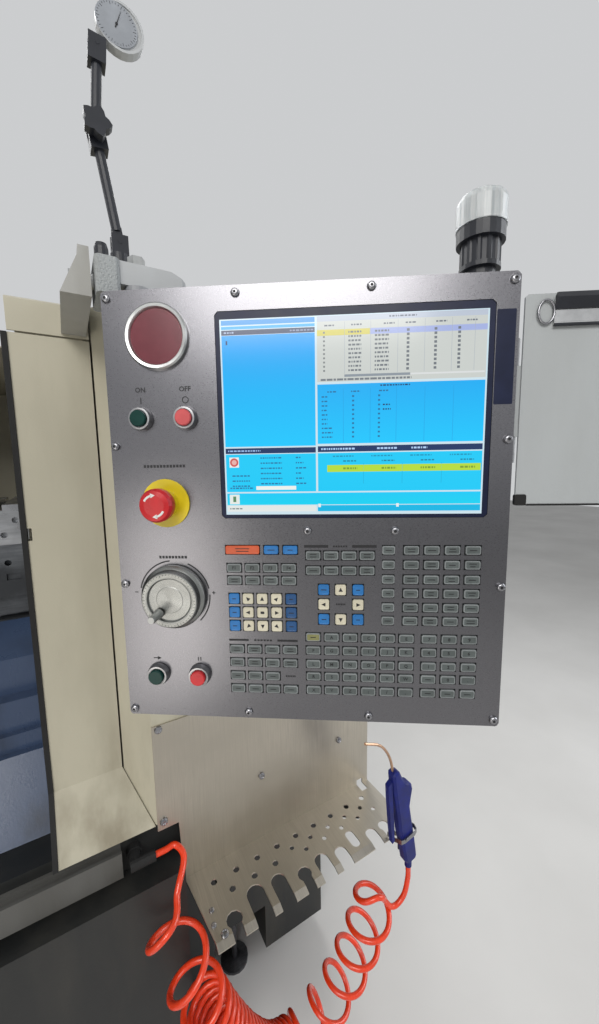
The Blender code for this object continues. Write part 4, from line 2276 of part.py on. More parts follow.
def link(paint_slot, name, low, high, parent):
    """A round arm link in the plane y = HOLDER_BASE_Y, with an eye at its foot and a fork at its top."""
    y = HOLDER_BASE_Y
    start = Vector((low[0], y, low[1]))
    end = Vector((high[0], y, high[1]))
    along = (end - start).normalized()

    def tube(bm):
        bar_between(bm, start + along * ARM_TUBE_INSET, end - along * ARM_TUBE_INSET, ARM_TUBE_RADIUS)

    def tongue(bm):
        half = ARM_EYE_THICKNESS / 2
        side = Vector((along.z, -along.x)) * (ARM_TUBE_RADIUS - GAP)
        foot, tip = Vector(low), Vector((start + along * (ARM_TUBE_INSET + CUT_OVERRUN)).xz)
        outline = [tuple(place) for place in (foot - side, foot + side, tip + side, tip - side)]
        prism(bm, outline, y - half, y + half, "y")

    def eye(bm):
        half = ARM_EYE_THICKNESS / 2
        rod(bm, low, ARM_EYE_RADIUS, y - half, y + half, "y", EDGE_STEPS)

    def eye_hole(bm):
        radius = ARM_PIN_RADIUS + ARM_PIN_CLEARANCE
        half = ARM_EYE_THICKNESS / 2 + CUT_OVERRUN
        rod(bm, low, radius, y - half, y + half, "y", SMALL_STEPS)

    made = node(name, paint_slot, tube, parent, (low[0], y, low[1]), smooth=40)
    join(made, tongue)
    join(made, eye)
    join(made, fork(high, along, y))
    join(made, fork_pin(high, y))
    cut(made, eye_hole)


def fork(centre, along, y):
    """Two cheeks beside the next link's eye and the bridge below it, as one U-shaped solid."""
    gap, half = HOLDER_FORK_GAP / 2, HOLDER_FORK_DEPTH / 2
    bottom, bridge, top = -HOLDER_FORK_REACH, -ARM_EYE_RADIUS - HINGE_CLEARANCE * 2, ARM_EYE_RADIUS
    outline = (
        (-half, bottom),
        (half, bottom),
        (half, top),
        (gap, top),
        (gap, bridge),
        (-gap, bridge),
        (-gap, top),
        (-half, top),
    )

    def fill(bm):
        side = Vector((along.z, 0, -along.x)) * (HOLDER_FORK_WIDTH / 2)
        middle = Vector((centre[0], y, centre[1]))
        rings = []
        for shift in (-side, side):
            places = [middle + shift + Vector((0, across, 0)) + along * up for across, up in outline]
            rings.append([bm.verts.new(place) for place in places])
        bm.faces.new(rings[0])
        bm.faces.new(rings[1])
        for k in range(len(outline)):
            n = (k + 1) % len(outline)
            bm.faces.new((rings[0][k], rings[0][n], rings[1][n], rings[1][k]))

    return fill


def fork_pin(centre, y):
    def fill(bm):
        half = HOLDER_FORK_DEPTH / 2 + GAP
        rod(bm, centre, ARM_PIN_RADIUS, y - half, y + half, "y", SMALL_STEPS)

    return fill


def holding_arm(paint, root):
    y = HOLDER_BASE_Y
    seat = ARM_TOP + GAP
    shoulder = (HOLDER_BASE_X, seat + HOLDER_BASE_HEIGHT + HOLDER_FORK_HEIGHT)
    elbow = (ELBOW_X, ELBOW_Z)
    wrist = (WRIST_X, WRIST_Z)

    def foot(bm):
        profile = (
            (0, seat),
            (HOLDER_BASE_RADIUS, seat),
            (HOLDER_BASE_RADIUS, seat + HOLDER_BASE_HEIGHT),
            (0, seat + HOLDER_BASE_HEIGHT),
        )
        turned(bm, profile, (HOLDER_BASE_X, y), "z", ROUND_STEPS)

    base = node("holding_arm_base", paint["plastic"], foot, root, smooth=40)
    join(base, fork(shoulder, Vector((0, 0, 1)), y))
    join(base, fork_pin(shoulder, y))
    link(paint["plastic"], "holding_arm_lower", shoulder, elbow, root)
    link(paint["plastic"], "holding_arm_upper", elbow, wrist, root)

    def star(bm):
        outline = []
        for i in range(STAR_LOBES * 4):
            angle = 2 * math.pi * i / (STAR_LOBES * 4)
            wave = math.cos(STAR_LOBES * angle)
            radius = STAR_RADIUS - STAR_LOBE_RADIUS * (1 - wave) / 2
            outline.append((elbow[0] + radius * math.cos(angle), elbow[1] + radius * math.sin(angle)))
        low = y - HOLDER_FORK_DEPTH / 2 - 2 * GAP - STAR_STANDOFF
        prism(bm, outline, low - STAR_THICKNESS, low, "y")

    def star_hub(bm):
        high = y - HOLDER_FORK_DEPTH / 2 - 2 * GAP
        rod(bm, elbow, ARM_TUBE_RADIUS, high - STAR_STANDOFF * 2, high, "y", SMALL_STEPS)

    knob = node("holding_arm_knob", paint["plastic"], star, root, (elbow[0], y, elbow[1]))
    join(knob, star_hub)
    round_gauge(paint, root, wrist)


def round_gauge(paint, root, wrist):
    y = HOLDER_BASE_Y
    centre = (GAUGE_X, GAUGE_Z)
    half = GAUGE_THICKNESS / 2

    def disc(bm):
        profile = (
            (0, y - half + GAUGE_RIM / 2),
            (GAUGE_RADIUS - GAUGE_RIM, y - half + GAUGE_RIM / 2),
            (GAUGE_RADIUS - GAUGE_RIM, y - half),
            (GAUGE_RADIUS, y - half),
            (GAUGE_RADIUS, y + half),
            (0, y + half),
        )
        turned(bm, profile, centre, "y", ROUND_STEPS)

    def stem(bm):
        start = Vector((wrist[0], y, wrist[1]))
        line = Vector((centre[0], y, centre[1])) - start
        begin = start + line.normalized() * (ARM_EYE_RADIUS / 2)
        bar_between(bm, begin, start + line * 0.6, GAUGE_STEM_RADIUS * 0.8)

    def eye(bm):
        thick = ARM_EYE_THICKNESS / 2
        rod(bm, wrist, ARM_EYE_RADIUS, y - thick, y + thick, "y", EDGE_STEPS)

    def eye_hole(bm):
        thick = ARM_EYE_THICKNESS / 2 + CUT_OVERRUN
        radius = ARM_PIN_RADIUS + ARM_PIN_CLEARANCE
        rod(bm, wrist, radius, y - thick, y + thick, "y", SMALL_STEPS)

    made = node("holding_arm_gauge", paint["pale"], disc, root, (wrist[0], y, wrist[1]), smooth=40)
    join(made, stem)
    join(made, eye)
    cut(made, eye_hole)


def stand_on_origin(root):
    """Moves the root so that the middle of the footprint, without the hose, is at the origin."""
    bpy.context.view_layer.update()
    graph = bpy.context.evaluated_depsgraph_get()
    corners = []
    for made in bpy.context.scene.objects:
        if made.type not in ("MESH", "CURVE") or made.hide_render or made.name == "air_hose":
            continue
        evaluated = made.evaluated_get(graph)
        mesh = evaluated.to_mesh()
        place = evaluated.matrix_world
        corners += [place @ vertex.co for vertex in mesh.vertices]
        evaluated.to_mesh_clear()
    x = [corner.x for corner in corners]
    y = [corner.y for corner in corners]
    root.location = (-(min(x) + max(x)) / 2, -(min(y) + max(y)) / 2, 0)
    bpy.context.view_layer.update()


def main():
    clear_scene()
    paint = make_materials()
    root = empty("machine_axes", (0, 0, 0))
    centre = (PLATE_CENTRE_X, PLATE_CENTRE_Y, PLATE_CENTRE_Z)
    pendant = empty("pendant_axes", centre, root, PENDANT_TURN)
    machine_pieces = (
        base_frame,
        levelling_feet,
        front_corner_panel,
        door_seal,
        header_panel,
        enclosure_shell,
        control_column,
        door_rail,
        sliding_door,
        door_window,
        door_handle,
        way_cover,
        bed,
        headstock,
        spindle_nose,
        collet,
        carriage,
        cross_slide,
        tool_block,
        tool_holder,
        turning_tool,
        tool_tray,
        tray_bracket,
        hose_fitting,
        air_hose,
        air_gun_body,
        air_gun_trigger,
        air_gun_nozzle,
        air_gun_hanger,
        post_bracket,
        arm_knuckle,
        knuckle_bolt,
        clamp_knob,
        arm_beam,
        swivel_bolt,
        holding_arm,
    )
    pendant_pieces = (
        pendant_housing,
        face_plate,
        screen_panel,
        keypad,
        badge,
        estop_ring,
        estop_button,
        push_buttons,
        jog_wheel,
        jog_knob,
        beacon_base,
        beacon_lens,
        clipboard,
        clipboard_clip,
    )
    for build in machine_pieces:
        build(paint, root)
    for build in pendant_pieces:
        build(paint, pendant)
    stand_on_origin(root)


main()
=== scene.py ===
"""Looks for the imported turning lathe: camera, hose, controls, legends, display and materials."""

import math
import random

import bmesh
import bpy
from mathutils import Matrix, Vector


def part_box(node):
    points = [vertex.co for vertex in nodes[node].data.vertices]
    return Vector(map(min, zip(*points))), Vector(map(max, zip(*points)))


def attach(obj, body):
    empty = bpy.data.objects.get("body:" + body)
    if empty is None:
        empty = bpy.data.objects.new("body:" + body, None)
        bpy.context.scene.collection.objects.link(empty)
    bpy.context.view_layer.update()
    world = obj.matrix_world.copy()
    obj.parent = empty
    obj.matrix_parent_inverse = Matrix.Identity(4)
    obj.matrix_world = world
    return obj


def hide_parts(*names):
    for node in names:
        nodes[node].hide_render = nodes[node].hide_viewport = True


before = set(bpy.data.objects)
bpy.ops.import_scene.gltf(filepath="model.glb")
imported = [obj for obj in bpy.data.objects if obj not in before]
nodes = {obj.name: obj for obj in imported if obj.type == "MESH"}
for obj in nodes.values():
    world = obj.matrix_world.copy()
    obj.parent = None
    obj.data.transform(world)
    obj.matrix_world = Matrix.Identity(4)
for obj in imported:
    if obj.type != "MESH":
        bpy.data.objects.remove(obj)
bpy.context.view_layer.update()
chance = random.Random(7)

# The machine's own axes start at the control column's left front edge, on the floor.
MACHINE = Matrix.Translation((0.321926, -0.191453, 0))
# The pendant's own axes start at its plate's centre: x runs along the plate, y into it and z up.
PENDANT_TURN = math.radians(-35.065)
PENDANT = MACHINE @ Matrix.Translation((0.1517, -0.2791, 1.3866)) @ Matrix.Rotation(PENDANT_TURN, 4, "Z")
UPRIGHT = Matrix.Rotation(math.pi / 2, 4, "X")


def link_object(name, data, place=Matrix.Identity(4)):
    """Puts data into the scene as an object, and returns the object."""
    made = bpy.data.objects.new(name, data)
    bpy.context.scene.collection.objects.link(made)
    made.matrix_world = place
    return made


# --- Camera ---

CAMERA_PLACE = (-0.0939, -0.68, 1.45)
CAMERA_TURNS = (30.638, 7.127, -0.857)
CAMERA_LENS = 13.748
CAMERA_SENSOR = 36
CAMERA_RANGE = (0.01, 60)


def make_camera():
    yaw, pitch, roll = (math.radians(turn) for turn in CAMERA_TURNS)
    ahead = Vector((math.sin(yaw) * math.cos(pitch), math.cos(yaw) * math.cos(pitch), -math.sin(pitch)))
    level = Vector((math.cos(yaw), -math.sin(yaw), 0))
    rise = level.cross(ahead)
    right = level * math.cos(roll) + rise * math.sin(roll)
    up = rise * math.cos(roll) - level * math.sin(roll)
    turn = Matrix((right, up, -ahead)).transposed().to_4x4()
    data = bpy.data.cameras.new("camera")
    data.lens = CAMERA_LENS
    data.sensor_width = CAMERA_SENSOR
    data.clip_start, data.clip_end = CAMERA_RANGE
    place = Matrix.Translation(MACHINE @ Vector(CAMERA_PLACE)) @ turn
    bpy.context.scene.camera = link_object("camera", data, place)


make_camera()


# --- Materials ---


class Paint:
    """A Principled material with a few procedural layers on it."""

    def __init__(self, name, colour, roughness, metallic=0.0, **sockets):
        self.made = bpy.data.materials.new("look_" + name)
        self.made.use_nodes = True
        self.tree = self.made.node_tree
        self.shader = self.tree.nodes["Principled BSDF"]
        sockets.update(Base_Color=(*colour, 1), Roughness=roughness, Metallic=metallic)
        for key, value in sockets.items():
            self.set(key.replace("_", " "), value)
        self.places = {}

    def set(self, socket, value):
        self.shader.inputs[socket].default_value = value

    def add(self, kind, inputs=None, **settings):
        """A node with these settings; inputs gives a value or a linked output for each input."""
        made = self.tree.nodes.new(kind)
        for key, value in settings.items():
            setattr(made, key, value)
        for key, value in (inputs or {}).items():
            if isinstance(value, bpy.types.NodeSocket):
                self.link(value, made.inputs[key])
            else:
                made.inputs[key].default_value = value
        return made

    def link(self, a, b):
        self.tree.links.new(a, b)

    def place(self, scale=(1, 1, 1), turn=(0, 0, 0)):
        key = (scale, turn)
        if key not in self.places:
            at = self.add("ShaderNodeTexCoord").outputs["Object"]
            mapping = self.add("ShaderNodeMapping", {"Vector": at, "Scale": scale, "Rotation": turn})
            self.places[key] = mapping.outputs["Vector"]
        return self.places[key]

    def noise(self, scale, detail=3.0, stretch=(1, 1, 1), turn=(0, 0, 0), rough=0.55):
        inputs = {"Vector": self.place(stretch, turn), "Scale": scale, "Detail": detail, "Roughness": rough}
        return self.add("ShaderNodeTexNoise", inputs).outputs["Fac"]

    def ramp(self, factor, low, high):
        made = self.add("ShaderNodeValToRGB", {"Fac": factor})
        first, last = made.color_ramp.elements
        first.position, last.position = low, high
        return made.outputs["Color"]

    def mix(self, factor, a, b):
        """a where factor is 0 and b where it is 1; each is a colour or an output."""
        a, b = ((*each, 1) if isinstance(each, tuple) else each for each in (a, b))
        return self.add("ShaderNodeMix", {0: factor, 6: a, 7: b}, data_type="RGBA").outputs[2]

    def span(self, factor, low, high, side="To"):
        """Spreads a factor of 0 to 1 over low to high, or with From the other way round."""
        inputs = {"Value": factor, side + " Min": low, side + " Max": high}
        return self.add("ShaderNodeMapRange", inputs).outputs["Result"]

    def product(self, a, b):
        return self.add("ShaderNodeMath", {0: a, 1: b}, operation="MULTIPLY").outputs[0]

    def bump(self, height, depth, strength=1.0):
        made = self.add("ShaderNodeBump", {"Height": height, "Distance": depth, "Strength": strength})
        before = self.shader.inputs["Normal"].links
        if before:
            self.link(before[0].from_socket, made.inputs["Normal"])
        self.link(made.outputs["Normal"], self.shader.inputs["Normal"])

    def tint(self, colour):
        self.link(colour, self.shader.inputs["Base Color"])

    def shine(self, factor, low, high):
        self.link(self.span(factor, low, high), self.shader.inputs["Roughness"])

    def height_band(self, low, high):
        """0 at the height low and 1 at high, in metres."""
        at = self.add("ShaderNodeSeparateXYZ", {0: self.place()})
        return self.span(at.outputs["Z"], low, high, "From")


def shade(colour, share):
    return tuple(channel * share for channel in colour)


def powder_coat(name, colour, grime, roughness=0.42, grain=420.0, dirt_low=0.8, dirt_high=1.05):
    """Sprayed paint with orange peel, faint clouds and more grime near the floor."""
    paint = Paint(name, colour, roughness)
    clouds = paint.noise(3.0, 4.0)
    tone = paint.mix(paint.ramp(clouds, 0.3, 0.75), shade(colour, 0.9), shade(colour, 1.04))
    smear = paint.noise(14.0, 6.0, stretch=(1, 1, 0.25))
    low = paint.height_band(dirt_high, dirt_low)
    marks = paint.product(paint.ramp(smear, 0.46, 0.72), paint.span(low, 0.18, 0.8))
    paint.tint(paint.mix(marks, tone, grime))
    paint.shine(smear, roughness - 0.08, roughness + 0.16)
    paint.bump(paint.noise(grain, 2.0), 0.00025, 0.5)
    return paint


def brushed(name, colour, roughness, grain_turn=0.0, stretch=(0.012, 1, 1), cross=900.0, patina=0.86):
    """Brushed stainless: fine lines along x, and broad smears of wear."""
    paint = Paint(name, colour, roughness, 1.0)
    lines = paint.noise(cross, 3.0, stretch=stretch, turn=(0, 0, grain_turn), rough=0.7)
    broad = paint.noise(5.0, 5.0, stretch=(0.6, 1, 1), turn=(0, 0, grain_turn))
    fine = paint.mix(paint.ramp(lines, 0.3, 0.72), shade(colour, 0.8), shade(colour, 1.12))
    paint.tint(paint.mix(paint.ramp(broad, 0.32, 0.7), shade(colour, patina), fine))
    paint.shine(lines, roughness - 0.07, roughness + 0.12)
    paint.bump(lines, 0.00006, 0.5)
    return paint


def machined(name, colour, roughness=0.35, oil=0.35):
    """Ground or cast iron with tool marks, dark pores and oily patches."""
    paint = Paint(name, colour, roughness, 0.85)
    marks = paint.noise(260.0, 4.0, stretch=(0.05, 1, 1))
    patches = paint.noise(9.0, 5.0)
    tone = paint.mix(paint.ramp(marks, 0.32, 0.7), shade(colour, 0.72), shade(colour, 1.1))
    paint.tint(paint.mix(paint.ramp(patches, 0.4, 0.66), shade(colour, oil), tone))
    paint.shine(patches, roughness - 0.15, roughness + 0.15)
    paint.bump(marks, 0.00015, 0.4)
    return paint


def moulded(name, colour, roughness, grain, depth=0.0001, wear=1.25, coat=0.0, specular=0.5):
    """Moulded plastic or rubber: a fine spark-eroded grain and lighter rubbed patches."""
    paint = Paint(name, colour, roughness, Coat_Weight=coat, Specular_IOR_Level=specular)
    rubbed = paint.noise(38.0, 4.0)
    paint.tint(paint.mix(paint.ramp(rubbed, 0.42, 0.78), shade(colour, 0.88), shade(colour, wear)))
    paint.shine(rubbed, roughness - 0.06, roughness + 0.12)
    paint.bump(paint.noise(grain, 2.0), depth, 0.6)
    return paint


def plated(name, colour=(0.78, 0.78, 0.78), roughness=0.14):
    """Bright metal with a faint haze."""
    paint = Paint(name, colour, roughness, 1.0)
    haze = paint.noise(60.0, 5.0)
    paint.tint(paint.mix(paint.ramp(haze, 0.35, 0.75), shade(colour, 0.78), colour))
    paint.shine(haze, roughness, roughness + 0.16)
    paint.bump(paint.noise(700.0, 2.0), 0.00003, 0.3)
    return paint


CREAM = (0.47, 0.442, 0.345)
GRIME = (0.2, 0.17, 0.115)

# What each maker is given for each look, after its name.
recipes = {
    powder_coat: {
        "cream": (CREAM, GRIME),
        "post": ((0.4, 0.4, 0.38), GRIME, 0.42, 420, 0.2, 0.4),
        "pale": ((0.46, 0.475, 0.485), (0.22, 0.21, 0.19), 0.48, 380, 0.2, 0.3),
        "housing": ((0.3, 0.31, 0.33), (0.1, 0.1, 0.1), 0.4, 380, 0.2, 0.3),
        "board": ((0.42, 0.445, 0.455), (0.24, 0.24, 0.23), 0.5, 380, 1.0, 1.2),
        "charcoal": ((0.013, 0.014, 0.014), (0.05, 0.046, 0.038), 0.4, 300, 0.1, 0.9),
        "black": ((0.01, 0.01, 0.011), (0.05, 0.045, 0.04), 0.5, 300, 0.2, 0.4),
        "rail": ((0.095, 0.094, 0.088), (0.04, 0.037, 0.03), 0.4, 320, 0.7, 0.8),
        "blue_grey": ((0.044, 0.072, 0.14), (0.012, 0.014, 0.018), 0.26, 260, 0.9, 1.15),
        "knuckle": ((0.34, 0.36, 0.365), (0.16, 0.16, 0.15), 0.45, 380, 0.2, 0.3),
    },
    machined: {
        "grey": ((0.16, 0.17, 0.185), 0.42),
        "dark_steel": ((0.2, 0.2, 0.215), 0.34),
        "ground_steel": ((0.52, 0.53, 0.55), 0.28, 0.6),
    },
    brushed: {
        "plate": ((0.205, 0.203, 0.218), 0.27, -PENDANT_TURN),
        "tray": ((0.58, 0.535, 0.46), 0.34, 0.0, (1, 0.02, 0.02), 700, 0.8),
    },
    plated: {
        "chrome": (),
        "copper": ((0.66, 0.42, 0.28), 0.28),
        "nut": ((0.62, 0.63, 0.62), 0.24),
        "screw": ((0.34, 0.34, 0.36), 0.2),
        "bezel": ((0.4, 0.4, 0.41), 0.26),
        "knob": ((0.46, 0.47, 0.46), 0.4),
    },
    moulded: {
        "rubber": ((0.005, 0.005, 0.005), 0.75, 900),
        "plastic": ((0.013, 0.015, 0.021), 0.42, 1100),
        "maroon": ((0.15, 0.012, 0.024), 0.22, 500, 0.00003, 1.15, 0.5),
        "yellow": ((0.72, 0.56, 0.01), 0.32, 900, 0.00005, 1.08),
        "red": ((0.55, 0.022, 0.027), 0.26, 900, 0.00004, 1.15, 0, 0.32),
        "pale_red": ((0.62, 0.09, 0.095), 0.34, 900, 0.00004, 1.12),
        "green": ((0.002, 0.034, 0.028), 0.3, 900, 0.00004, 1.3, 0, 0.25),
        "blue": ((0.006, 0.012, 0.135), 0.42, 1100, 0.00008, 1.5, 0, 0.3),
        "orange": ((0.86, 0.055, 0.012), 0.24, 500, 0.00004, 1.12, 0.3),
        "white": ((0.78, 0.78, 0.76), 0.4, 900, 0.00003, 1.02),
        "ink": ((0.008, 0.008, 0.01), 0.55, 900, 0.00002, 1.4),
        "mat": ((0.04, 0.046, 0.047), 0.55, 900),
        "rim": ((0.22, 0.24, 0.245), 0.42, 900, 0.00006, 1.2),
        "key": ((0.088, 0.105, 0.104), 0.46, 900, 0.00006, 1.2),
        "key_blue": ((0.015, 0.165, 0.46), 0.4, 900, 0.00006, 1.1),
        "key_navy": ((0.01, 0.075, 0.22), 0.4, 900, 0.00006, 1.1),
        "key_ivory": ((0.66, 0.62, 0.48), 0.45, 900, 0.00006, 1.05),
        "key_orange": ((0.62, 0.105, 0.035), 0.4, 900, 0.00006, 1.1),
        "key_olive": ((0.22, 0.22, 0.085), 0.45, 900, 0.00006, 1.1),
        "navy": ((0.006, 0.01, 0.036), 0.34, 600, 0.00003, 1.3, 0, 0.3),
        "dial": ((0.3, 0.32, 0.35), 0.2, 500, 0.00002, 1.1, 0.6),
    },
}
looks = {name: make(name, *values) for make, table in recipes.items() for name, values in table.items()}

window = Paint("window", (0.8, 0.84, 0.84), 0.06, Transmission_Weight=1.0, IOR=1.49)
window.shine(window.noise(16.0, 6.0), 0.02, 0.22)
looks["window"] = window

# The arm's knuckle is rough cast.
knuckle = looks["knuckle"]
pores = knuckle.add("ShaderNodeTexVoronoi", {"Vector": knuckle.place(), "Scale": 340}).outputs["Distance"]
knuckle.bump(knuckle.ramp(pores, 0.15, 0.55), 0.0007, 0.8)

# The beacon's lens is fluted along its height.
lens = Paint("lens", (0.82, 0.85, 0.86), 0.3, Transmission_Weight=0.55, IOR=1.45)
fluting = lens.noise(240.0, 2.0, stretch=(1, 1, 0.02))
lens.tint(lens.mix(lens.ramp(fluting, 0.35, 0.65), (0.62, 0.66, 0.68), (0.92, 0.94, 0.94)))
lens.shine(fluting, 0.22, 0.42)
lens.bump(fluting, 0.0004, 0.6)
looks["lens"] = lens

# The jog wheel has fine turned rings.
turned_face = Paint("turned", (0.6, 0.61, 0.6), 0.22, 1.0, Anisotropic=0.75)
tangent = turned_face.add("ShaderNodeTangent", direction_type="RADIAL", axis="Z")
turned_face.link(tangent.outputs[0], turned_face.shader.inputs["Tangent"])
inputs = {"Vector": turned_face.place(), "Scale": 420, "Distortion": 0.6}
rings = turned_face.add("ShaderNodeTexWave", inputs, wave_type="RINGS", rings_direction="Z").outputs["Fac"]
turned_face.shine(rings, 0.26, 0.42)
turned_face.tint(turned_face.mix(turned_face.noise(30.0, 4.0), (0.2, 0.205, 0.2), (0.36, 0.365, 0.35)))
turned_face.bump(rings, 0.00005, 0.4)
looks["turned"] = turned_face

dress = {
    "cream": "front_corner_panel header_panel enclosure_shell control_column sliding_door",
    "post": "post_bracket",
    "pale": "arm_beam holding_arm_gauge",
    "housing": "pendant_housing",
    "board": "clipboard",
    "knuckle": "arm_knuckle",
    "charcoal": "base_frame tray_bracket",
    "black": "turning_tool",
    "rail": "door_rail",
    "grey": "bed headstock carriage cross_slide",
    "blue_grey": "way_cover",
    "ground_steel": "tool_block collet",
    "dark_steel": "spindle_nose tool_holder levelling_foot_front_left levelling_foot_front_right "
    "levelling_foot_rear_left levelling_foot_rear_right",
    "plate": "face_plate",
    "tray": "tool_tray",
    "chrome": "clipboard_clip air_gun_hanger jog_wheel",
    "nut": "knuckle_bolt swivel_bolt",
    "knob": "jog_knob",
    "copper": "air_gun_nozzle",
    "rubber": "door_seal hose_fitting",
    "plastic": "door_handle clamp_knob beacon_base holding_arm_base holding_arm_lower "
    "holding_arm_upper holding_arm_knob",
    "mat": "keypad",
    "maroon": "badge",
    "yellow": "estop_ring",
    "red": "estop_button feed_hold_button",
    "pale_red": "power_off_button",
    "green": "power_on_button cycle_start_button",
    "blue": "air_gun_body air_gun_trigger",
    "orange": "air_hose",
    "navy": "screen_panel",
    "window": "door_window",
    "lens": "beacon_lens",
}
for look, names in dress.items():
    for name in names.split():
        for holder in nodes[name].material_slots:
            holder.link = "DATA"
            holder.material = looks[look].made


BEVEL_ABOVE, SPLIT_ABOVE = math.radians(40), math.radians(32)


def soften(names, width):
    """Rounds a CAD node's edges as the real casting or sheet has them."""
    for name in names.split():
        bevel = nodes[name].modifiers.new("soft_edges", "BEVEL")
        bevel.width = width
        bevel.segments = 2
        bevel.limit_method = "ANGLE"
        bevel.angle_limit = BEVEL_ABOVE
        nodes[name].data.shade_smooth()
        nodes[name].modifiers.new("edge_normals", "EDGE_SPLIT").split_angle = SPLIT_ABOVE


soften("control_column sliding_door base_frame headstock", 0.0016)
soften("arm_beam arm_knuckle", 0.0012)
soften("tool_tray", 0.0005)


# --- Mesh helpers ---


def piece(name, fill, look, body, place=Matrix.Identity(4), smooth=30.0):
    """A mesh made by fill(bm), placed by its own object, that rides on a body. look is a name or names."""
    mesh = bpy.data.meshes.new(name)
    bm = bmesh.new()
    fill(bm)
    bmesh.ops.recalc_face_normals(bm, faces=bm.faces)
    bm.to_mesh(mesh)
    bm.free()
    for each in [look] if isinstance(look, str) else look:
        mesh.materials.append(looks[each].made)
    made = link_object(name, mesh, place)
    if smooth:
        mesh.shade_smooth()
        made.modifiers.new("edge_normals", "EDGE_SPLIT").split_angle = math.radians(smooth)
    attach(made, body)
    return made


def wire(name, points, radius, look, body, place=Matrix.Identity(4), resolution=3, cyclic=False):
    """A round wire or tube through points, that rides on a body."""
    curve = bpy.data.curves.new(name, "CURVE")
    curve.dimensions = "3D"
    curve.bevel_depth = radius
    curve.bevel_resolution = resolution
    curve.use_fill_caps = True
    spline = curve.splines.new("POLY")
    spline.points.add(len(points) - 1)
    for point, at in zip(spline.points, points):
        point.co = (*at, 1)
    spline.use_cyclic_u = cyclic
    spline.use_smooth = True
    curve.materials.append(looks[look].made)
    made = link_object(name, curve, place)
    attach(made, body)
    return made


def loft(bm, rings, indices=None, hollow=False):
    """Joins rings of points into a closed skin, capped or with its ends meeting, and returns its faces."""
    made = [[bm.verts.new(point) for point in ring] for ring in rings]
    pairs = list(zip(made, made[1:])) + ([(made[-1], made[0])] if hollow else [])
    indices = indices or [0] * len(pairs)
    faces = []

    def add(corners, index):
        faces.append(bm.faces.new(corners))
        faces[-1].material_index = index

    for (low, high), index in zip(pairs, indices):
        for i in range(len(low)):
            k = (i + 1) % len(low)
            add((low[i], low[k], high[k], high[i]), index)
    if not hollow:
        add(made[0][::-1], indices[0])
        add(made[-1], indices[-1])
    return faces


def angles(count):
    return [2 * math.pi * i / count for i in range(count)]


def around(centre, radius, angle):
    return centre[0] + radius * math.cos(angle), centre[1] + radius * math.sin(angle)


def rounded(x, z, width, height, radius, steps=3):
    """Points round a rounded rectangle, as (x, z)."""
    points = []
    half_w, half_h = width / 2 - radius, height / 2 - radius
    for corner, (sx, sz) in enumerate(((1, 1), (-1, 1), (-1, -1), (1, -1))):
        centre = (x + sx * half_w, z + sz * half_h)
        for i in range(steps + 1):
            points.append(around(centre, radius, math.pi / 2 * (corner + i / steps)))
    return points


def sector(centre, inner, outer, start, end, steps=16):
    """Outline of an arc band, angles in degrees."""
    turns = [math.radians(start + (end - start) * i / steps) for i in range(steps + 1)]
    band = [[around(centre, radius, turn) for turn in turns] for radius in (inner, outer)]
    return band[0] + band[1][::-1]


def arrow_head(centre, size, turn, corners=(0, 130, 230)):
    """A triangle that points along turn, with its corners in degrees from there."""
    return [around(centre, size, turn + math.radians(corner)) for corner in corners]


def tick(centre, inner, outer, half_width, angle):
    """Outline of a short bar between two radii."""
    outline = []
    for radius, side in ((inner, -1), (outer, -1), (outer, 1), (inner, 1)):
        shift = side * half_width
        x, z = around(centre, radius, angle)
        outline.append((x - shift * math.sin(angle), z + shift * math.cos(angle)))
    return outline


def flat(bm, outline, front, back):
    """A thin slab in the pendant's axes from an (x, z) outline, between two depths."""
    return loft(bm, [[(x, depth, z) for x, z in outline] for depth in (back, front)])


def bar(bm, x, z, width, height, front, back):
    w, h = width / 2, height / 2
    flat(bm, [(x - w, z - h), (x + w, z - h), (x + w, z + h), (x - w, z + h)], front, back)


def spin(bm, profile, centre, steps, axis="y", **skin):
    """Turns a profile of (radius, along) round an axis through centre, with poles where radius is 0."""
    rings = []
    for radius, along in profile:
        ring = [around(centre, radius, angle) for angle in angles(steps)]
        rings.append([(a, along, b) if axis == "y" else (a, b, along) for a, b in ring])
    loft(bm, rings, **skin)


WORD_THICK = 0.0001
WORD_BOLD = 0.025


def word(bm, text, x, z, size, front):
    """Adds a short text, centred at (x, z) on the pendant's plane."""
    curve = bpy.data.curves.new("word", "FONT")
    curve.body = text
    curve.size = size
    curve.align_x, curve.align_y = "CENTER", "CENTER"
    curve.extrude = WORD_THICK
    curve.offset = size * WORD_BOLD
    curve.resolution_u = 2
    made = link_object("word", curve, Matrix.Translation((x, front + WORD_THICK, z)) @ UPRIGHT)
    bpy.context.view_layer.update()
    mesh = bpy.data.meshes.new_from_object(made.evaluated_get(bpy.context.evaluated_depsgraph_get()))
    mesh.transform(made.matrix_world)
    bm.from_mesh(mesh)
    bpy.data.objects.remove(made)
    bpy.data.curves.remove(curve)
    bpy.data.meshes.remove(mesh)


# --- Recoil hose ---

HOSE_RADIUS = 0.0055
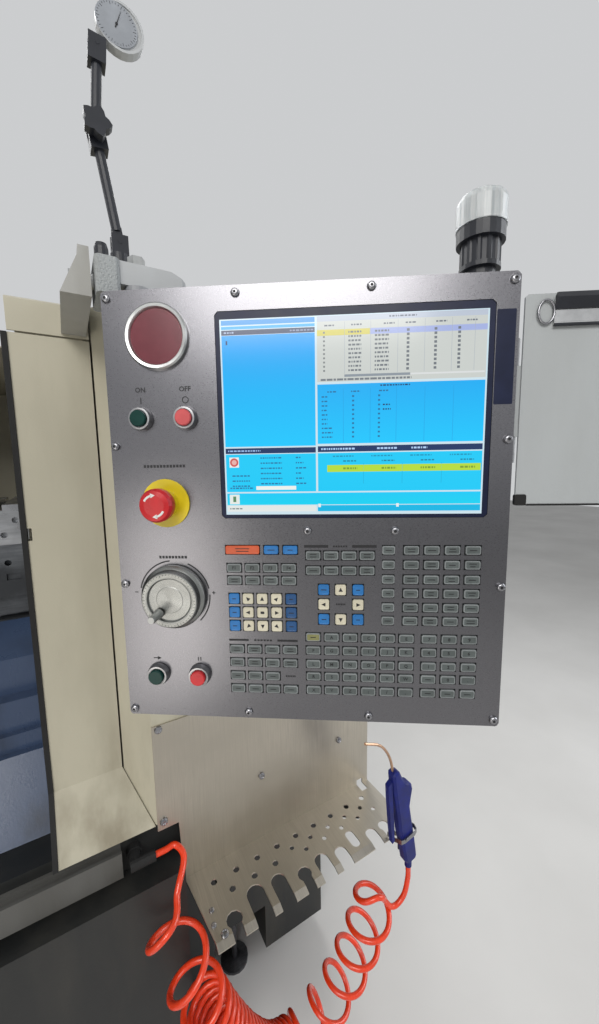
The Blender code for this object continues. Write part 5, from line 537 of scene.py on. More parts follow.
# The hose's course in the machine's axes, from the fitting to the gun; the coils turn round it.
HOSE_POINTS = [
    (-0.0077, -0.01, 0.757), (0.01, -0.01, 0.757), (0.027, -0.01, 0.757), (0.036, -0.034, 0.75),
    (0.018, -0.064, 0.73), (0.0, -0.08, 0.69), (0.014, -0.09, 0.625), (0.036, -0.098, 0.545),
    (0.073, -0.1, 0.445), (0.115, -0.098, 0.355), (0.165, -0.094, 0.285), (0.225, -0.09, 0.258),
    (0.285, -0.096, 0.29), (0.328, -0.112, 0.355), (0.36, -0.128, 0.438), (0.382, -0.142, 0.515),
    (0.392, -0.15, 0.566), (0.424, -0.16, 0.524), (0.453, -0.164, 0.534), (0.466, -0.164, 0.57),
    (0.466, -0.164, 0.6017),
]
HOSE_STEPS = 90
HOSE_SPACING = 0.0022
# Where the coils begin, end and lie tight, counted in the points above, with the blends there.
COIL_FIRST, COIL_LAST = 5, 15.9
COIL_LEAD, COIL_TRAIL, COIL_BLEND = 0.9, 0.7, 1.1
TIGHT_FROM, TIGHT_TO, TIGHT_BLEND = 7.6, 10.6, 1.2
COIL_RADIUS = 0.039
COIL_PHASE = 5.65
PITCH_DROP, PITCH_TIGHT, PITCH_OPEN = 0.1, 0.019, 0.07
LEAST_SHARE = 0.12


def catmull(points, steps):
    """A smooth line through points, and each of its points' place counted in the given ones."""
    padded = [points[0] * 2 - points[1]] + points + [points[-1] * 2 - points[-2]]
    fine, index = [], []
    for i in range(1, len(padded) - 2):
        p0, p1, p2, p3 = padded[i - 1 : i + 3]
        square, cube = p0 * 2 - p1 * 5 + p2 * 4 - p3, p1 * 3 - p0 - p2 * 3 + p3
        for k in range(steps):
            t = k / steps
            fine.append((p1 * 2 + (p2 - p0) * t + square * t * t + cube * t * t * t) / 2)
            index.append(i - 1 + t)
    return fine + [points[-1].copy()], index + [len(points) - 1]


def ease(t):
    t = min(1.0, max(0.0, t))
    return t * t * (3 - 2 * t)


def coil_points():
    """The hose's centreline: straight tails and a helix that is stretched where it hangs."""
    axis, index = catmull([Vector(p) for p in HOSE_POINTS], HOSE_STEPS)
    side = (axis[1] - axis[0]).normalized().orthogonal().normalized()
    phase = COIL_PHASE
    made = []
    for i, place in enumerate(axis):
        ahead = axis[min(i + 1, len(axis) - 1)] - axis[max(i - 1, 0)]
        ahead.normalize()
        side = (side - ahead * side.dot(ahead)).normalized()
        other = ahead.cross(side)
        radius = COIL_RADIUS * ease((index[i] - COIL_FIRST + COIL_LEAD) / COIL_BLEND)
        radius *= ease((COIL_LAST + COIL_TRAIL - index[i]) / COIL_BLEND)
        if i:
            pitch = PITCH_TIGHT + (PITCH_DROP - PITCH_TIGHT) * ease((TIGHT_FROM - index[i]) / TIGHT_BLEND)
            pitch += (PITCH_OPEN - PITCH_TIGHT) * ease((index[i] - TIGHT_TO) / TIGHT_BLEND)
            pitch /= max(LEAST_SHARE, radius / COIL_RADIUS)
            phase += 2 * math.pi * (place - axis[i - 1]).length / pitch
        made.append(place + (side * math.cos(phase) + other * math.sin(phase)) * radius)
    return made


def make_hose():
    centre = coil_points()
    spaced = [centre[0]]
    for point in centre:
        if (point - spaced[-1]).length > HOSE_SPACING:
            spaced.append(point)
    spaced[-1] = centre[-1]
    spaced = [MACHINE @ point for point in spaced]
    made = wire("hose_coil", spaced, HOSE_RADIUS, "orange", "machine", resolution=4)
    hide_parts("air_hose")


make_hose()


# --- Keys ---

KEY_SIZE = (0.0178, 0.0104)
KEY_NARROW = (0.015, 0.0104)
KEY_WIDE = (0.0424, 0.0106)
KEY_SQUARE = (0.0132, 0.0132)
KEY_CORNER = 0.0021
KEY_TOP = -0.0019
KEY_DISH = 0.00025
# The inset and depth of each ring of a cap, from its foot to its dished face.
KEY_RINGS = (
    (0, 0.0005), (0, KEY_TOP + 0.0005), (0.0005, KEY_TOP), (0.0013, KEY_TOP), (0.0017, KEY_TOP + KEY_DISH),
)
# The looks of a cap's rim and face, where they aren't the same.
KEY_LOOKS = {"grey": ("rim", "key"), "olive": ("rim", "key_olive")}
MARK_FRONT = KEY_TOP + KEY_DISH - 0.00012
MARK_BACK = MARK_FRONT + 0.0002
MARK_HEIGHT = 0.001
MARK_SHIFT = 0.0016
LETTER_SIZE = 0.0056
ARROW_SIZE = 0.0032
ARROW_TURNS = {"6": 0, "9": 45, "8": 90, "7": 135, "4": 180, "1": 225, "2": 270, "3": 315}


def key_table():
    """Every key as (x, z, (width, height), kind, legend); a legend of a and a digit is an arrow."""
    keys = []

    def add(x, z, legend, kind="grey", size=KEY_SIZE):
        keys.append((x, z, size, kind, legend))

    add(-0.0787, -0.0423, "=", "orange", KEY_WIDE)
    for x in (-0.0428, -0.0192):
        add(x, -0.0423, "-", "blue")
    for i in range(4):
        x = -0.0898 + 0.0228 * i
        add(x, -0.0652, f"F{i + 1}")
        add(x, -0.0812, "-" if i % 2 else "=")
        for row, z in enumerate((-0.1718, -0.1897, -0.2077, -0.2254)):
            if not (row == 2 and i == 3):
                add(x, z, "=" if row < 2 else "-")
    for z, codes in ((-0.105, "789"), (-0.1228, "456"), (-0.1406, "123")):
        add(-0.0912, z, "-", "blue", KEY_SQUARE)
        add(-0.0192, z, "-", "navy", KEY_SQUARE)
        for x, code in zip((-0.0736, -0.0556, -0.0376), codes):
            add(x, z, "a" + code, "ivory", KEY_SQUARE)
    for row, z in enumerate((-0.0492, -0.068)):
        for i in range(4):
            add(0.009 + 0.0218 * i, z, "-=-="[i] if row else "=")
    for z, codes in ((-0.0923, "-8-"), (-0.1111, "4 6"), (-0.1304, "-2-")):
        for x, code in zip((0.0216, 0.0424, 0.0637), codes):
            if code == "-":
                add(x, z, "-", "blue", KEY_SQUARE)
            elif code != " ":
                add(x, z, "a" + code, "ivory", KEY_SQUARE)
    for row, z in enumerate((-0.0424, -0.0604, -0.0786, -0.0961, -0.114, -0.1311)):
        add(0.1, z, "-", size=KEY_NARROW)
        for i in range(4):
            add(0.127 + 0.024 * i, z, "=-"[(row + i) % 2])
    letters = iter("-ABCDEFGHIJKLMNOPQRSTUVWXYZ;/,")
    digits = iter("789456123-0.---")
    for z in (-0.1541, -0.1717, -0.1898, -0.2066, -0.225):
        for i in range(6):
            letter = next(letters)
            add(0.008 + 0.023 * i, z, letter, "olive" if letter == "-" else "grey")
        for i in range(3):
            add(0.1505 + 0.024 * i, z, next(digits))
    return keys


def key_cap(bm, key):
    x, z, (width, height), _, _ = key
    rings = []
    for inset, depth in KEY_RINGS:
        outline = rounded(x, z, width - 2 * inset, height - 2 * inset, KEY_CORNER - inset * 0.7)
        rings.append([(a, depth, b) for a, b in outline])
    loft(bm, rings, indices=[0, 0, 0, 1])


def arrow(x, z, code):
    """A small triangle that points as the numeric pad's code says, or a square for 5."""
    if code not in ARROW_TURNS:
        return rounded(x, z, ARROW_SIZE * 1.5, ARROW_SIZE, 0.0004, 1)
    return arrow_head((x, z), ARROW_SIZE, math.radians(ARROW_TURNS[code]))


def make_keys():
    keys = key_table()
    for kind in ("grey", "blue", "navy", "ivory", "orange", "olive"):
        pair = KEY_LOOKS.get(kind, ("key_" + kind, "key_" + kind))
        chosen = [key for key in keys if key[3] == kind]

        def caps(bm):
            for key in chosen:
                key_cap(bm, key)

        piece("keys_" + kind, caps, pair, "pendant", PENDANT)

    def marks(bm):
        for x, z, (width, _), _, legend in keys:
            if legend[0] == "a":
                flat(bm, arrow(x, z, legend[1]), MARK_FRONT, MARK_BACK)
            elif legend in ("=", "-"):
                for shift in (MARK_SHIFT, -MARK_SHIFT) if legend == "=" else (0.0,):
                    length = width * chance.uniform(0.34, 0.56)
                    bar(bm, x, z + shift, length, MARK_HEIGHT, MARK_FRONT, MARK_BACK)

    def letters(bm):
        for x, z, _, _, legend in keys:
            if legend not in ("=", "-") and legend[0] != "a":
                word(bm, legend, x, z, LETTER_SIZE, MARK_FRONT)

    piece("key_marks", marks, "ink", "pendant", PENDANT, smooth=0)
    piece("key_letters", letters, "ink", "pendant", PENDANT, smooth=0)


make_keys()


# --- Tray: its screws and the strip that holds the gun ---

# Heads as (radius, rise over the sheet), and their places: (x, z) on the back, (x, y) on the shelf.
TRAY_SCREW = (
    (0.0066, 0.0004), (0.0068, 0.0022), (0.0059, 0.004), (0.0036, 0.0048), (0.003, 0.004), (0.0, 0.0038),
)
TRAY_RIVET = ((0.0047, 0.0003), (0.0046, 0.0018), (0.003, 0.0027), (0.0, 0.003))
TRAY_SCREWS = ((0.011, 0.988), (0.011, 0.808), (0.206, 0.81), (0.403, 0.811))
TRAY_RIVETS = ((0.068, -0.082), (0.064, -0.106))
TRAY_CORNER = (0.076, -0.128)
TRAY_BACK = -0.003
SHELF_TOP = 0.6695
# The strip's course from the tray's last finger round the gun, as (x, y).
STRIP_PATH = (
    (0.429, -0.14), (0.43, -0.16), (0.4345, -0.1752), (0.442, -0.1784),
    (0.468, -0.1784), (0.476, -0.1752), (0.479, -0.166), (0.476, -0.156),
)
STRIP_SHEET = 0.0014
STRIP_HEIGHT = 0.0095
STRIP_GAP = 0.0008
STRIP_RISE, STRIP_RAMP = 0.014, 4
STRIP_STUD = ((0.0036, -0.1788), (0.0036, -0.1808), (0.0026, -0.1816), (0.0, -0.1818))


def tray_screws(bm):
    """Domed heads with a socket on the tray's back plate and shelf, and two rivets."""
    for place in TRAY_SCREWS:
        spin(bm, [(radius, TRAY_BACK - rise) for radius, rise in TRAY_SCREW], place, 24)
    for head, place in [(TRAY_SCREW, TRAY_CORNER)] + [(TRAY_RIVET, place) for place in TRAY_RIVETS]:
        spin(bm, [(radius, SHELF_TOP + rise) for radius, rise in head], place, 24, axis="z")


def gun_clip(bm):
    """The bright spring strip that rises from the tray's last finger and passes before the gun."""
    rings = []
    for i, (x, y) in enumerate(STRIP_PATH):
        before, after = STRIP_PATH[max(i - 1, 0)], STRIP_PATH[min(i + 1, len(STRIP_PATH) - 1)]
        along = Vector((after[0] - before[0], after[1] - before[1])).normalized()
        shift_x, shift_y = along.y * STRIP_SHEET / 2, -along.x * STRIP_SHEET / 2
        outer, inner = (x + shift_x, y + shift_y), (x - shift_x, y - shift_y)
        low = SHELF_TOP + STRIP_GAP + STRIP_RISE * min(i, STRIP_RAMP) / STRIP_RAMP
        high = low + STRIP_HEIGHT
        rings.append([(*outer, low), (*outer, high), (*inner, high), (*inner, low)])
    loft(bm, rings)
    spin(bm, STRIP_STUD, (0.444, SHELF_TOP + STRIP_RISE + 0.0056), 20)


piece("tray_screws", tray_screws, "screw", "machine", MACHINE)
piece("gun_clip", gun_clip, "screw", "machine", MACHINE)


# --- Face plate: screws, prints, controls ---

EDGE_SCREWS = ((0.2315, 0.2585), (0.0774, 0.2585), (0.2325, 0.087))
PLATE_SCREWS = [(sx * x, sz * z) for x, z in EDGE_SCREWS for sx in (-1, 1) for sz in (-1, 1)]
PLATE_SCREWS += [(0.0024, -0.0187), (0.1073, -0.0187)]
# Profiles as (radius, depth). The last two of the screw are its socket.
SCREW_HEAD = (
    (0.0052, 0.0001), (0.0053, -0.001), (0.0048, -0.0024), (0.0037, -0.0034), (0.0026, -0.0038),
    (0.0017, -0.0038), (0.0017, -0.0031),
)
BEZEL = (
    (0.0103, -0.001), (0.014, -0.0002), (0.0146, -0.0012), (0.0138, -0.006), (0.0128, -0.0086),
    (0.0108, -0.0088), (0.0103, -0.007),
)
BADGE_RIM = (
    (0.0315, -0.0036), (0.033, -0.0062), (0.0362, -0.0066), (0.0378, -0.0048), (0.0381, 0.0001),
    (0.0315, 0.0001),
)
BADGE = (-0.172, 0.213)
ESTOP = (-0.1725, 0.0165)
JOG = (-0.168, -0.102)
POWER_ON, POWER_OFF = (-0.197, 0.119), (-0.142, 0.119)
CYCLE_START, FEED_HOLD = (-0.195, -0.208), (-0.14, -0.208)
BUTTONS = {"power_on": POWER_ON, "power_off": POWER_OFF, "cycle_start": CYCLE_START, "feed_hold": FEED_HOLD}
PRINT_FRONT, PRINT_BACK = -0.00015, 0.0001
POWER_SIGN_Z, POWER_WORD_Z, START_SIGN_Z = 0.1405, 0.153, -0.187
POWER_WORD_SIZE = 0.0082
JOG_ARCS = ((96, 168), (12, 66), (-46, 2))
HEADINGS = (
    (0.0419, -0.0379, 0.018), (-0.056, -0.16, 0.024), (0.0424, -0.1111, 0.012), (-0.0214, -0.2077, 0.013),
)


def plate_screws(bm):
    """Domed heads with a dark socket, over the plate."""
    for centre in PLATE_SCREWS:
        spin(bm, SCREW_HEAD, centre, 24, indices=[0, 0, 0, 0, 0, 1])


def plate_prints(bm):
    """Bars, arcs and signs in the place of the words that are printed on the plate."""

    def line(x, z, width, height, lift=0.0):
        bar(bm, x, z, width, height, PRINT_FRONT - lift, PRINT_BACK)

    def dashed(x, z, count, step, width, height):
        for i in range(count):
            line(x + step * (i - (count - 1) / 2), z, width, height)

    for left, right in ((-0.0998, -0.0746), (-0.0377, -0.0118)):
        line((left + right) / 2, -0.16, right - left, 0.0026)
    for left, right in ((-0.002, 0.0274), (0.0564, 0.0858)):
        line((left + right) / 2, -0.0379, right - left, 0.0034)
    for x, z, length in HEADINGS:
        dashed(x, z, 6, length / 6, length / 8, 0.0022)
    for start, end in JOG_ARCS:
        flat(bm, sector(JOG, 0.0445, 0.0462, start, end), PRINT_FRONT, PRINT_BACK)
    for side in (-0.0505, 0.0505):
        line(JOG[0] + side, JOG[1] + 0.004, 0.0042, 0.0012)
    line(JOG[0] + 0.0505, JOG[1] + 0.004, 0.0012, 0.0042, 0.00004)
    line(POWER_ON[0], POWER_SIGN_Z, 0.0012, 0.007)
    ring = ((0.0031, PRINT_BACK), (0.0042, PRINT_BACK), (0.0042, PRINT_FRONT), (0.0031, PRINT_FRONT))
    spin(bm, ring, (POWER_OFF[0], POWER_SIGN_Z), 24, hollow=True)
    x, z = CYCLE_START[0], START_SIGN_Z
    flat(bm, [(x - 0.001, z + 0.0025), (x + 0.004, z), (x - 0.001, z - 0.0025)], PRINT_FRONT, PRINT_BACK)
    line(x - 0.004, z, 0.005, 0.0012)
    for shift in (-0.0016, 0.0016):
        line(FEED_HOLD[0] + shift, START_SIGN_Z, 0.0014, 0.005)
    dashed(ESTOP[0], 0.062, 13, 0.0041, 0.0029, 0.0034)
    dashed(JOG[0], -0.052, 9, 0.0041, 0.0029, 0.0034)


def plate_words(bm):
    for text, (x, _) in (("ON", POWER_ON), ("OFF", POWER_OFF)):
        word(bm, text, x, POWER_WORD_Z, POWER_WORD_SIZE, PRINT_FRONT)


def turned_ring(profile, centre, steps):
    return lambda bm: spin(bm, profile, centre, steps, hollow=True)


piece("plate_screws", plate_screws, ("screw", "ink"), "pendant", PENDANT)
piece("plate_prints", plate_prints, "ink", "pendant", PENDANT, smooth=0)
piece("plate_words", plate_words, "ink", "pendant", PENDANT, smooth=0)
for name, centre in BUTTONS.items():
    piece("bezel_" + name, turned_ring(BEZEL, centre, 40), "bezel", "pendant", PENDANT)
piece("badge_ring", turned_ring(BADGE_RIM, BADGE, 72), "nut", "pendant", PENDANT)


def estop_arrows(bm):
    """White arc arrows on the mushroom head's dome."""
    to_plate = PENDANT.inverted()
    tip = min((to_plate @ v.co).y for v in nodes["estop_button"].data.vertices)
    front, back = tip - 0.0003, tip + 0.004
    for start in (100, 280):
        flat(bm, sector(ESTOP, 0.0112, 0.0136, start, start + 52, 10), front, back)
        end = math.radians(start - 4)
        head = arrow_head(around(ESTOP, 0.0124, end), 0.0034, end - math.pi / 2, (0, 125, 235))
        flat(bm, head, front, back)


piece("estop_arrows", estop_arrows, "white", "estop", PENDANT, smooth=0)

# The hand wheel as (radius, height over the plate), with teeth on two of its rings.
JOG_PROFILE = (
    (0.006, -0.001), (0.04, 0.0012), (0.041, 0.0022), (0.041, 0.0076), (0.0398, 0.009),
    (0.0368, 0.0112), (0.0352, 0.019), (0.034, 0.0202), (0.0288, 0.0204), (0.0276, 0.02),
    (0.027, 0.018), (0.0262, 0.0172), (0.017, 0.0172), (0.0164, 0.0176), (0.01, 0.0176),
    (0.002, 0.0176),
)
JOG_TEETH = 96
JOG_TOOTHED = (2, 3)
JOG_NOTCH = 0.0005
JOG_MARKS = 50
JOG_MARK_EDGE = 0.0335
jog_place = PENDANT @ Matrix.Translation((JOG[0], 0, JOG[1])) @ UPRIGHT


def jog_dial(bm):
    """The hand wheel in its own axes: z is its axis, out of the plate."""
    rings = []
    for level, (radius, along) in enumerate(JOG_PROFILE):
        ring = []
        for i, angle in enumerate(angles(JOG_TEETH * 2)):
            notch = JOG_NOTCH if level in JOG_TOOTHED and i % 2 else 0
            ring.append((*around((0, 0), radius - notch, angle), along))
        rings.append(ring)
    loft(bm, rings)


def jog_ticks(bm):
    for i, angle in enumerate(angles(JOG_MARKS)):
        inner = JOG_MARK_EDGE - (0.003 if i % 5 == 0 else 0.0018)
        outline = tick((0, 0), inner, JOG_MARK_EDGE, 0.00018, angle)
        loft(bm, [[(*point, height) for point in outline] for height in (0.02, 0.0206)])


jog = piece("jog_dial", jog_dial, "turned", "jog", jog_place, smooth=24)
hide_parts("jog_wheel")
piece("jog_ticks", jog_ticks, "ink", "jog", jog_place, smooth=0)


# --- Display ---

# Its left foot on the plate, its width and its height; then the depths of the picture's layers.
SCREEN = (-0.09725, 0.00165, 0.3041, 0.2281)
SCREEN_FRONT, SCREEN_BACK = 0.00045, 0.00075
LAYER = 0.00005
# Shares of the picture's width and height: its two columns of panes, and the dashes that stand for text.
LEFT, RIGHT = (0.006, 0.364), (0.372, 0.994)
DASH, DASH_TALL, DASH_GAP = 0.01, 0.007, 0.0035

display = Paint("display", (0.004, 0.006, 0.01), 0.16)
glow = display.add("ShaderNodeVertexColor", layer_name="glow")
display.link(glow.outputs["Color"], display.shader.inputs["Emission Color"])
display.set("Emission Strength", 0.96)
display.bump(display.noise(1500.0, 1.0), 0.00002, 0.3)
looks["display"] = display

SKY_TOP, SKY_LOW = (0.0, 0.36, 0.9), (0.0, 0.58, 1.0)
CYAN, NAVY, DIM = (0.0, 0.6, 0.95), (0.004, 0.025, 0.11), (0.01, 0.16, 0.36)
SLATE = (0.16, 0.18, 0.2)


def display_picture(bm):
    """A made-up page in the photograph's layout: thin glowing tiles in layers."""
    layer = bm.loops.layers.float_color.new("glow")
    x0, z0, width, height = SCREEN

    def glowing(outline, front, back, colour, low=None):
        """A slab of one colour, or of one that runs to low at its lower edge."""
        foot = min(z for _, z in outline)
        for face in flat(bm, outline, front, back):
            for loop in face.loops:
                at_foot = abs(loop.vert.co.z - foot) < 1e-6
                loop[layer] = (*(low if low and at_foot else colour), 1)

    def tile(u0, v0, u1, v1, colour, lift=0, low=None):
        """A tile of the picture between shares of its width and height, v down from the top."""
        left, right = x0 + width * u0, x0 + width * u1
        top, foot = z0 + height * (1 - v0), z0 + height * (1 - v1)
        outline = [(left, foot), (right, foot), (right, top), (left, top)]
        glowing(outline, SCREEN_FRONT - lift * LAYER, SCREEN_BACK, colour, low)

    def pane(column, v0, v1, colour, lift=1, low=None):
        tile(column[0], v0, column[1], v1, colour, lift, low)

    def rules(places, v0, v1, colour):
        """Upright lines between the columns of a table."""
        for u in places:
            tile(u, v0, u + 0.0015, v1, colour, 2)

    def dashes(u, v, length, colour, lift=3, tall=DASH_TALL, dash=DASH):
        """A line of text as short dashes of uneven length."""
        at = u
        while at < u + length:
            step = dash * chance.uniform(0.4, 1.3)
            tile(at, v - tall / 2, min(at + step, u + length), v + tall / 2, colour, lift)
            at += step + DASH_GAP

    tile(0, 0, 1, 1, (0.62, 0.78, 0.86))
    pane(LEFT, 0.006, 0.03, (0.02, 0.3, 0.72))
    pane(LEFT, 0.036, 0.05, (0.03, 0.42, 0.9))
    pane(LEFT, 0.054, 0.078, (0.016, 0.032, 0.1))
    dashes(0.016, 0.066, 0.04, (0.4, 0.5, 0.7), 2)
    dashes(0.27, 0.066, 0.09, (0.25, 0.3, 0.45), 2)
    pane(LEFT, 0.08, 0.64, SKY_TOP, 1, SKY_LOW)
    tile(0.022, 0.105, 0.028, 0.125, NAVY, 2)
    pane(LEFT, 0.648, 0.676, NAVY)
    dashes(0.016, 0.662, 0.13, (0.35, 0.55, 0.9), 2)
    pane(LEFT, 0.68, 0.878, CYAN)
    tile(0.02, 0.695, 0.058, 0.748, (0.85, 0.86, 0.86), 2)
    icon = (x0 + width * 0.039, z0 + height * 0.2785)
    for radius, rise, tone in ((0.0052, 0.0002, (0.62, 0.1, 0.09)), (0.003, 0.00031, (0.8, 0.45, 0.42))):
        glowing([around(icon, radius, a) for a in angles(16)], SCREEN_FRONT - rise, SCREEN_FRONT, tone)
    for row in range(6):
        v = 0.7 + row * 0.027
        dashes(0.145, v, 0.085, DIM)
        dashes(0.285, v, 0.02 + 0.01 * (row % 3), DIM)
        if row > 2:
            dashes(0.03, v + 0.012, 0.07, DIM)
    tile(0.125, 0.848, 0.285, 0.868, (0.86, 0.9, 0.86), 2)
    dashes(0.02, 0.858, 0.095, DIM)
    tile(0.006, 0.886, 0.994, 0.948, CYAN, 1, (0.0, 0.66, 0.9))
    tile(0.016, 0.892, 0.056, 0.944, (0.8, 0.84, 0.8), 2)
    tile(0.03, 0.902, 0.042, 0.932, (0.1, 0.25, 0.12), 3)
    pane(LEFT, 0.952, 0.984, (0.78, 0.82, 0.8))
    dashes(0.016, 0.968, 0.05, (0.2, 0.25, 0.25))
    tile(0.37, 0.952, 0.994, 0.984, (0.0, 0.48, 0.8), 1)
    for u in (0.372, 0.676):
        tile(u, 0.944, u + 0.01, 0.962, (0.85, 0.88, 0.88), 3)
    pane(RIGHT, 0.004, 0.322, (0.6, 0.63, 0.6))
    pane(RIGHT, 0.004, 0.03, (0.5, 0.56, 0.66), 2)
    dashes(0.64, 0.017, 0.1, (0.1, 0.12, 0.18))
    for u in (0.4, 0.5, 0.62, 0.7, 0.81, 0.92):
        dashes(u, 0.05, 0.04, (0.12, 0.14, 0.18))
    tile(0.372, 0.07, 0.57, 0.098, (0.66, 0.6, 0.12), 2)
    tile(0.57, 0.07, 0.994, 0.098, (0.38, 0.45, 0.76), 2)
    for row in range(10):
        v = 0.084 + row * 0.0205
        tile(0.395, v - 0.005, 0.402, v + 0.004, (0.2, 0.22, 0.22), 3)
        dashes(0.49, v, 0.048, SLATE, 3, 0.009)
        dashes(0.588, v, 0.052, SLATE, 3, 0.009)
        for u in (0.705, 0.805, 0.89):
            tile(u, v - 0.006, u + 0.01, v + 0.006, SLATE, 3)
    rules((0.475, 0.572, 0.672, 0.77, 0.868, 0.95), 0.034, 0.285, (0.42, 0.46, 0.5))
    tile(0.475, 0.288, 0.72, 0.3, (0.26, 0.3, 0.34), 3)
    tile(0.72, 0.29, 0.99, 0.298, (0.72, 0.74, 0.74), 3)
    dashes(0.385, 0.312, 0.34, (0.18, 0.2, 0.22), 3, 0.01, 0.02)
    pane(RIGHT, 0.334, 0.632, (0.0, 0.42, 0.92), 1, SKY_LOW)
    dashes(0.61, 0.346, 0.11, NAVY)
    for u in (0.41, 0.5, 0.605):
        dashes(u, 0.372, 0.035, DIM)
    for row in range(10):
        v = 0.396 + row * 0.0225
        dashes(0.388, v, 0.022 + (0.02 if row > 6 else 0), DIM)
        for u in (0.504, 0.602):
            tile(u, v - 0.005, u + 0.008, v + 0.004, DIM, 3)
        if row in (2, 3):
            dashes(0.62, v, 0.03, NAVY)
    rules((0.47, 0.572, 0.67, 0.775, 0.88), 0.356, 0.628, (0.0, 0.34, 0.74))
    pane(RIGHT, 0.644, 0.674, NAVY)
    for u, length in ((0.385, 0.13), (0.6, 0.075), (0.73, 0.06)):
        dashes(u, 0.659, length, (0.45, 0.65, 0.95), 2, 0.009)
    pane(RIGHT, 0.68, 0.878, CYAN)
    for i in range(4):
        u = 0.43 + i * 0.148
        dashes(u, 0.697, 0.08, (0.0, 0.3, 0.5))
        dashes(u + 0.04, 0.722, 0.05, (0.0, 0.22, 0.36))
        dashes(u + 0.04, 0.76, 0.055, (0.2, 0.34, 0.02), 3, 0.01)
        rules((u + 0.118,), 0.735, 0.84, (0.0, 0.4, 0.66))
    tile(0.408, 0.742, 0.99, 0.778, (0.48, 0.72, 0.03), 2)


piece("display_picture", display_picture, "display", "pendant", PENDANT, smooth=0)


def side_label(bm):
    flat(bm, rounded(0.22475, 0.177, 0.0205, 0.102, 0.0012, 2), PRINT_FRONT - 0.0001, PRINT_BACK)


piece("side_label", side_label, "navy", "pendant", PENDANT, smooth=0)


# --- Clipboard, gauge ---

BOARD_LEFT = 0.2475
CLIP_LEFT, CLIP_RIGHT = BOARD_LEFT + 0.03, BOARD_LEFT + 0.27
CLIP_LOW = 0.2129
# The grip on the clip's jaw as (y, z).
BAND = (
    (0.0012, 0.2432), (-0.0031, 0.242), (-0.0034, 0.237), (0.0014, 0.2262), (0.0026, 0.2262),
    (0.004, 0.24),
)
BAND_OVERHANG = 0.0006
BAIL_STEPS = 40
BAIL_WIRE, RING_WIRE = 0.0018, 0.0013
BAIL_DIP = 0.0125


def clip_band(bm):
    """The dark grip over the upper half of the clip's jaw."""
    ends = (CLIP_LEFT - BAND_OVERHANG, CLIP_RIGHT + BAND_OVERHANG)
    loft(bm, [[(x, y, z) for y, z in BAND] for x in ends])


def make_bail():
    """The black wire along the jaw's lower edge, with its bend, and the ring at its left end."""
    points = []
    for i in range(BAIL_STEPS + 1):
        share = i / BAIL_STEPS
        dip = BAIL_DIP * ease((share - 0.24) / 0.12) * ease((0.6 - share) / 0.12)
        points.append((CLIP_LEFT + (CLIP_RIGHT - CLIP_LEFT) * share, 0.0045, CLIP_LOW - 0.0022 - dip))
    wire("clip_bail", points, BAIL_WIRE, "plastic", "clip", PENDANT)
    x, z = CLIP_LEFT - 0.0085, CLIP_LOW + 0.012
    ring = [(x + 0.0085 * math.cos(a), 0.0052, z + 0.0125 * math.sin(a)) for a in angles(32)]
    wire("clip_ring", ring, RING_WIRE, "screw", "clip", PENDANT, cyclic=True)


def board_corner(bm):
    """The rubber corner at the board's lower left, and the dark edging under the board."""
    flat(bm, rounded(BOARD_LEFT + 0.0055, 0.0165, 0.013, 0.013, 0.0022), 0.0068, 0.0122)
    bar(bm, BOARD_LEFT + 0.156, 0.0108, 0.286, 0.0022, 0.0074, 0.0114)


piece("clip_band", clip_band, "plastic", "clip", PENDANT, smooth=0)
make_bail()
piece("board_corner", board_corner, "rubber", "board", PENDANT)

GAUGE_DROP = 0.028
GAUGE_FACE = 0.024
GAUGE_MARKS = 40
GAUGE_MARK_EDGE = 0.0225
GAUGE_READING = math.radians(70)


def gauge_dial():
    """The dial's centre as (x, z), and the depth of its front."""
    low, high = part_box("holding_arm_gauge")
    return ((low.x + high.x) / 2, high.z - GAUGE_DROP), low.y


def gauge_face(bm):
    centre, front = gauge_dial()
    spin(bm, [(GAUGE_FACE, front + 0.0028), (GAUGE_FACE, front - 0.0002)], centre, 48)


def gauge_marks(bm):
    """The dial's ticks, its pointer and the pointer's hub."""
    centre, front = gauge_dial()
    front -= 0.0004
    for i, angle in enumerate(angles(GAUGE_MARKS)):
        inner = GAUGE_MARK_EDGE - (0.0034 if i % 4 == 0 else 0.0018)
        flat(bm, tick(centre, inner, GAUGE_MARK_EDGE, 0.00022, angle), front, front + 0.001)
    left, _, _, right = tick(centre, -0.005, 0, 0.0006, GAUGE_READING)
    flat(bm, [right, left, around(centre, 0.018, GAUGE_READING)], front - 0.0004, front)
    spin(bm, [(0.0016, front), (0.0014, front - 0.0007)], centre, 20)


piece("gauge_face", gauge_face, "dial", "gauge_head")
piece("gauge_marks", gauge_marks, "ink", "gauge_head", smooth=0)


# --- Floor, light ---

FLOOR_REACH = 14
SURROUND, SURROUND_POWER = (0.7, 0.715, 0.73), 0.42
BACKDROP, BACKDROP_POWER = (0.6, 0.61, 0.62), 1.0


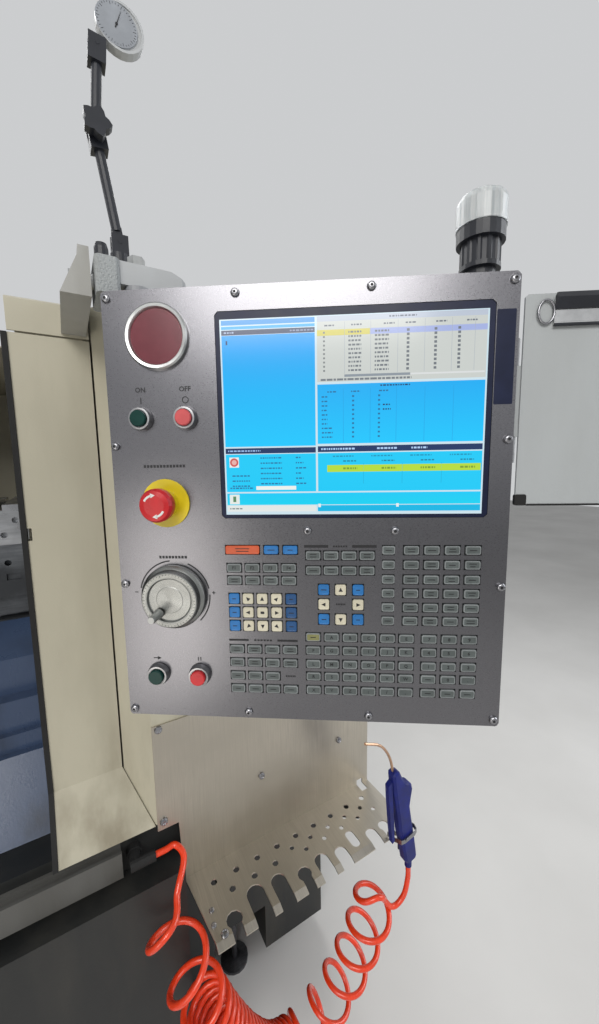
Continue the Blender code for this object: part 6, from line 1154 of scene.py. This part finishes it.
def make_floor():
    ground = Paint("floor", (0.72, 0.71, 0.69), 0.75)
    clouds = ground.noise(1.2, 4.0)
    ground.tint(ground.mix(ground.ramp(clouds, 0.3, 0.7), (0.66, 0.65, 0.63), (0.76, 0.75, 0.73)))
    ground.bump(ground.noise(60.0, 3.0), 0.0008, 0.3)
    mesh = bpy.data.meshes.new("floor")
    corners = [(sx * FLOOR_REACH, sy * FLOOR_REACH, 0) for sx, sy in ((-1, -1), (1, -1), (1, 1), (-1, 1))]
    mesh.from_pydata(corners, [], [(0, 1, 2, 3)])
    mesh.materials.append(ground.made)
    link_object("floor", mesh)


def make_world():
    """Soft light from all sides, and a plain backdrop for what is seen, mirrored or seen through."""
    world = bpy.data.worlds.new("studio")
    bpy.context.scene.world = world
    world.use_nodes = True
    tree, link = world.node_tree.nodes, world.node_tree.links.new
    back, shown = tree["Background"], tree.new("ShaderNodeBackground")
    for node, colour, power in ((back, SURROUND, SURROUND_POWER), (shown, BACKDROP, BACKDROP_POWER)):
        node.inputs["Color"].default_value = (*colour, 1)
        node.inputs["Strength"].default_value = power
    path = tree.new("ShaderNodeLightPath").outputs
    either = path["Is Camera Ray"]
    for output in ("Is Glossy Ray", "Is Transmission Ray"):
        larger = tree.new("ShaderNodeMath")
        larger.operation = "MAXIMUM"
        link(either, larger.inputs[0])
        link(path[output], larger.inputs[1])
        either = larger.outputs[0]
    mix = tree.new("ShaderNodeMixShader")
    for index, output in enumerate((either, back.outputs[0], shown.outputs[0])):
        link(output, mix.inputs[index])
    link(mix.outputs[0], tree["World Output"].inputs["Surface"])


def make_lamp(name, place, aim, size, power, colour=(1, 1, 1)):
    data = bpy.data.lights.new(name, "AREA")
    data.shape = "RECTANGLE"
    data.size, data.size_y = size
    data.energy = power
    data.color = colour
    made = link_object(name, data)
    made.location = place
    made.rotation_euler = (Vector(aim) - Vector(place)).to_track_quat("-Z", "Y").to_euler()


make_floor()
make_world()
make_lamp("key_light", (-1.6, -3.0, 3.4), (0.3, -0.1, 1.1), (2.4, 1.6), 95, (1.0, 0.98, 0.95))
make_lamp("side_light", (3.2, -1.8, 2.2), (0.4, -0.2, 1.0), (1.6, 2.2), 45, (0.93, 0.96, 1.0))
make_lamp("low_light", (-0.97, -1.18, 0.8), (0.334, -0.373, 1.29), (0.45, 1.0), 4.8, (1.0, 0.95, 0.88))
make_lamp("top_light", (0.2, 1.8, 3.6), (0.0, 0.0, 1.0), (3.0, 1.4), 60)

bpy.context.scene.view_settings.view_transform = "Standard"
